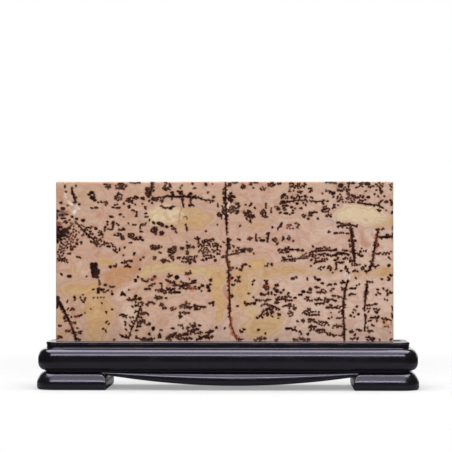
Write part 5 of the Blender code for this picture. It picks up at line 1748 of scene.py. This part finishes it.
class PictureStoneSlabSettings(bpy.types.PropertyGroup):
    seed: bpy.props.IntProperty(name="Seed", description="Seed of the dendrites' flecks", default=7, min=0)
    arris: bpy.props.FloatProperty(
        name="Arris",
        description="Width of the slab's softened edges",
        default=1.1 * MM,
        unit="LENGTH",
        min=0.0002,
    )
    ground: bpy.props.FloatVectorProperty(
        name="Ground",
        description="Pink of the stone",
        default=(0.405, 0.243, 0.178),
        subtype="COLOR",
        min=0,
        max=1,
    )
    second_ground: bpy.props.FloatVectorProperty(
        name="Second ground",
        description="Tan of the stone",
        default=(0.395, 0.249, 0.163),
        subtype="COLOR",
        min=0,
        max=1,
    )
    pale_ground: bpy.props.FloatVectorProperty(
        name="Pale ground",
        description="Palest stone",
        default=(0.475, 0.345, 0.280),
        subtype="COLOR",
        min=0,
        max=1,
    )
    dendrite: bpy.props.FloatVectorProperty(
        name="Dendrites",
        description="Cores of the dendrites",
        default=(0.009, 0.003, 0.002),
        subtype="COLOR",
        min=0,
        max=1,
    )
    dendrite_edge: bpy.props.FloatVectorProperty(
        name="Dendrite edges",
        description="Brown of the dendrites' edges",
        default=(0.075, 0.026, 0.016),
        subtype="COLOR",
        min=0,
        max=1,
    )
    roughness: bpy.props.FloatProperty(
        name="Roughness",
        description="Roughness of the polished faces",
        default=0.13,
        min=0,
        max=1,
        subtype="FACTOR",
    )


class PictureStoneStandSettings(bpy.types.PropertyGroup):
    lacquer: bpy.props.FloatVectorProperty(
        name="Lacquer",
        description="Black of the lacquer",
        default=(0.0022, 0.002, 0.0024),
        subtype="COLOR",
        min=0,
        max=1,
    )
    lacquer_light: bpy.props.FloatVectorProperty(
        name="Lacquer streaks",
        description="Lighter brushed streaks",
        default=(0.0045, 0.004, 0.005),
        subtype="COLOR",
        min=0,
        max=1,
    )
    gloss_tint: bpy.props.FloatVectorProperty(
        name="Gloss tint",
        description="Tint of the lacquer's gloss",
        default=(0.84, 0.78, 1.0),
        subtype="COLOR",
        min=0,
        max=1,
    )
    roughness: bpy.props.FloatProperty(
        name="Roughness", description="Roughness of the lacquer", default=0.15, min=0, max=1, subtype="FACTOR"
    )


class PictureStoneStageSettings(bpy.types.PropertyGroup):
    top_light: bpy.props.FloatProperty(
        name="Top light", description="Brightness of the softbox over the object", default=6.7, min=0
    )
    front_light: bpy.props.FloatProperty(
        name="Front light", description="Brightness of the softbox above the camera", default=2.0, min=0
    )
    strip_light: bpy.props.FloatProperty(
        name="Strip light", description="Brightness of the strip under the front softbox", default=9.0, min=0
    )
    low_light: bpy.props.FloatProperty(
        name="Low light",
        description="Brightness of the low fill in front, which no gloss shows",
        default=2.4,
        min=0,
    )
    ambient: bpy.props.FloatProperty(
        name="Ambient",
        description="Strength of the even light",
        default=0.06,
        min=0,
    )
    horizon: bpy.props.FloatProperty(
        name="Horizon",
        description="Brightness of the far floor",
        default=1.0,
        min=0,
    )
    backdrop: bpy.props.FloatProperty(
        name="Backdrop",
        description="Brightness behind the object",
        default=1.3,
        min=0,
    )


class PICTURESTONE_OT_slab(bpy.types.Operator):
    """Make the slab with its markings"""

    bl_idname = "picture_stone.make_slab"
    bl_label = "Make the slab"

    def execute(self, context):
        settings = context.scene.picture_stone_slab
        mesh = make_slab_mesh(settings)
        finish = stone_material(settings)
        finish_piece("stone_slab", mesh, finish, ["picture_stone"], SLAB_SMOOTH_ANGLE)
        return {"FINISHED"}


class PICTURESTONE_OT_board(bpy.types.Operator):
    """Make the moulded board with its groove"""

    bl_idname = "picture_stone.make_board"
    bl_label = "Make the board"

    def execute(self, context):
        finish = lacquer_material(context.scene.picture_stone_stand)
        mesh = make_board_mesh(finish)
        sheltered = BOARD_LOW.z + BELLY_WIDEST_LOW / 2 * MM
        add_wear(mesh, lambda point: -WEAR_LIMIT if point.z < sheltered else 0.0)
        finish_piece("moulded_board", mesh, finish, ["stand_board"], STAND_SMOOTH_ANGLE)
        return {"FINISHED"}


class PICTURESTONE_OT_supports(bpy.types.Operator):
    """Make the two feet and the two hanging aprons"""

    bl_idname = "picture_stone.make_supports"
    bl_label = "Make the feet and aprons"

    def execute(self, context):
        finish = bpy.data.materials.get("black_lacquer")
        if finish is None:
            raise RuntimeError("make the board first: the supports share its lacquer")
        for name, side, cad_node in (("left_foot", -1, "foot_left"), ("right_foot", 1, "foot_right")):
            mesh = loft(name, foot_sections(side))
            inner = LEFT_FOOT_HIGH.x if side < 0 else RIGHT_FOOT_LOW.x
            amount = INNER_END_WEAR if side < 0 else INNER_END_WEAR / 3
            reach = INNER_END_REACH * MM
            add_wear(mesh, lambda point: amount * max(0.0, 1 - abs(point.x - inner) / reach))
            finish_piece(name, mesh, finish, [cad_node], STAND_SMOOTH_ANGLE)
        for name, facing, cad_node in (("front_apron", -1, "apron_front"), ("rear_apron", 1, "apron_back")):
            mesh = make_apron_mesh(name, facing)
            add_wear(mesh)
            finish_piece(name, mesh, finish, [cad_node], STAND_SMOOTH_ANGLE)
        return {"FINISHED"}


class PICTURESTONE_OT_stage(bpy.types.Operator):
    """Make the floor, the backdrop, the lights and the camera"""

    bl_idname = "picture_stone.make_stage"
    bl_label = "Make the stage"

    def execute(self, context):
        settings = context.scene.picture_stone_stage
        low = (-FLOOR_HALF, -FLOOR_HALF, FLOOR_UNDERSIDE)
        floor = box_object("floor", low, (FLOOR_HALF, FLOOR_HALF, -FLOOR_GAP))
        floor.data.materials.append(floor_material(settings))
        low = (-BACKDROP_HALF, BACKDROP_Y, BACKDROP_LOW)
        high = (BACKDROP_HALF, BACKDROP_Y + BACKDROP_THICKNESS, BACKDROP_HIGH)
        backdrop = box_object("backdrop", low, high)
        backdrop.data.materials.append(backdrop_material(settings))
        backdrop.visible_camera = False
        backdrop.visible_shadow = False
        softbox("top_softbox", *TOP_LIGHT, settings.top_light)
        softbox("front_softbox", *FRONT_LIGHT, settings.front_light)
        softbox("front_strip", *STRIP_LIGHT, settings.strip_light)
        fill = softbox("low_fill", *LOW_LIGHT, settings.low_light)
        fill.visible_glossy = False
        make_world(settings)
        lens = bpy.data.cameras.new("camera")
        lens.lens = CAMERA_LENS
        lens.sensor_width = CAMERA_SENSOR
        lens.clip_start = CAMERA_CLIP_START
        lens.clip_end = CAMERA_CLIP_END
        camera = bpy.data.objects.new("camera", lens)
        around = math.radians(CAMERA_AZIMUTH)
        camera_x = math.sin(around) * CAMERA_DISTANCE
        camera_y = -math.cos(around) * CAMERA_DISTANCE
        camera.location = (camera_x, camera_y, CAMERA_HEIGHT)
        heading = math.radians(CAMERA_AZIMUTH + CAMERA_PAN)
        camera.rotation_euler = (math.radians(90 + CAMERA_TILT_UP), 0, heading)
        context.scene.collection.objects.link(camera)
        context.scene.camera = camera
        context.scene.view_settings.view_transform = "Standard"
        return {"FINISHED"}


class PICTURESTONE_PT_panel(bpy.types.Panel):
    """Buttons and settings of the picture stone"""

    bl_idname = "PICTURESTONE_PT_panel"
    bl_label = "Picture stone"
    bl_space_type = "VIEW_3D"
    bl_region_type = "UI"
    bl_category = "Picture stone"

    def draw(self, context):
        layout = self.layout
        for operator, settings in (
            ("picture_stone.make_slab", context.scene.picture_stone_slab),
            ("picture_stone.make_board", context.scene.picture_stone_stand),
            ("picture_stone.make_supports", None),
            ("picture_stone.make_stage", context.scene.picture_stone_stage),
        ):
            box = layout.box()
            box.operator(operator)
            if settings is not None:
                for name in settings.bl_rna.properties.keys():
                    if name not in ("rna_type", "name"):
                        box.prop(settings, name)


SETTINGS = (
    ("picture_stone_slab", PictureStoneSlabSettings),
    ("picture_stone_stand", PictureStoneStandSettings),
    ("picture_stone_stage", PictureStoneStageSettings),
)
OPERATORS = (
    PICTURESTONE_OT_slab,
    PICTURESTONE_OT_board,
    PICTURESTONE_OT_supports,
    PICTURESTONE_OT_stage,
)


def register():
    for name, group in SETTINGS:
        bpy.utils.register_class(group)
        setattr(bpy.types.Scene, name, bpy.props.PointerProperty(type=group))
    for item in (*OPERATORS, PICTURESTONE_PT_panel):
        bpy.utils.register_class(item)


def unregister():
    for item in (PICTURESTONE_PT_panel, *reversed(OPERATORS)):
        bpy.utils.unregister_class(item)
    for name, group in reversed(SETTINGS):
        delattr(bpy.types.Scene, name)
        bpy.utils.unregister_class(group)


def main():
    register()
    bpy.ops.picture_stone.make_slab()
    bpy.ops.picture_stone.make_board()
    bpy.ops.picture_stone.make_supports()
    bpy.ops.picture_stone.make_stage()


if __name__ == "__main__":
    main()
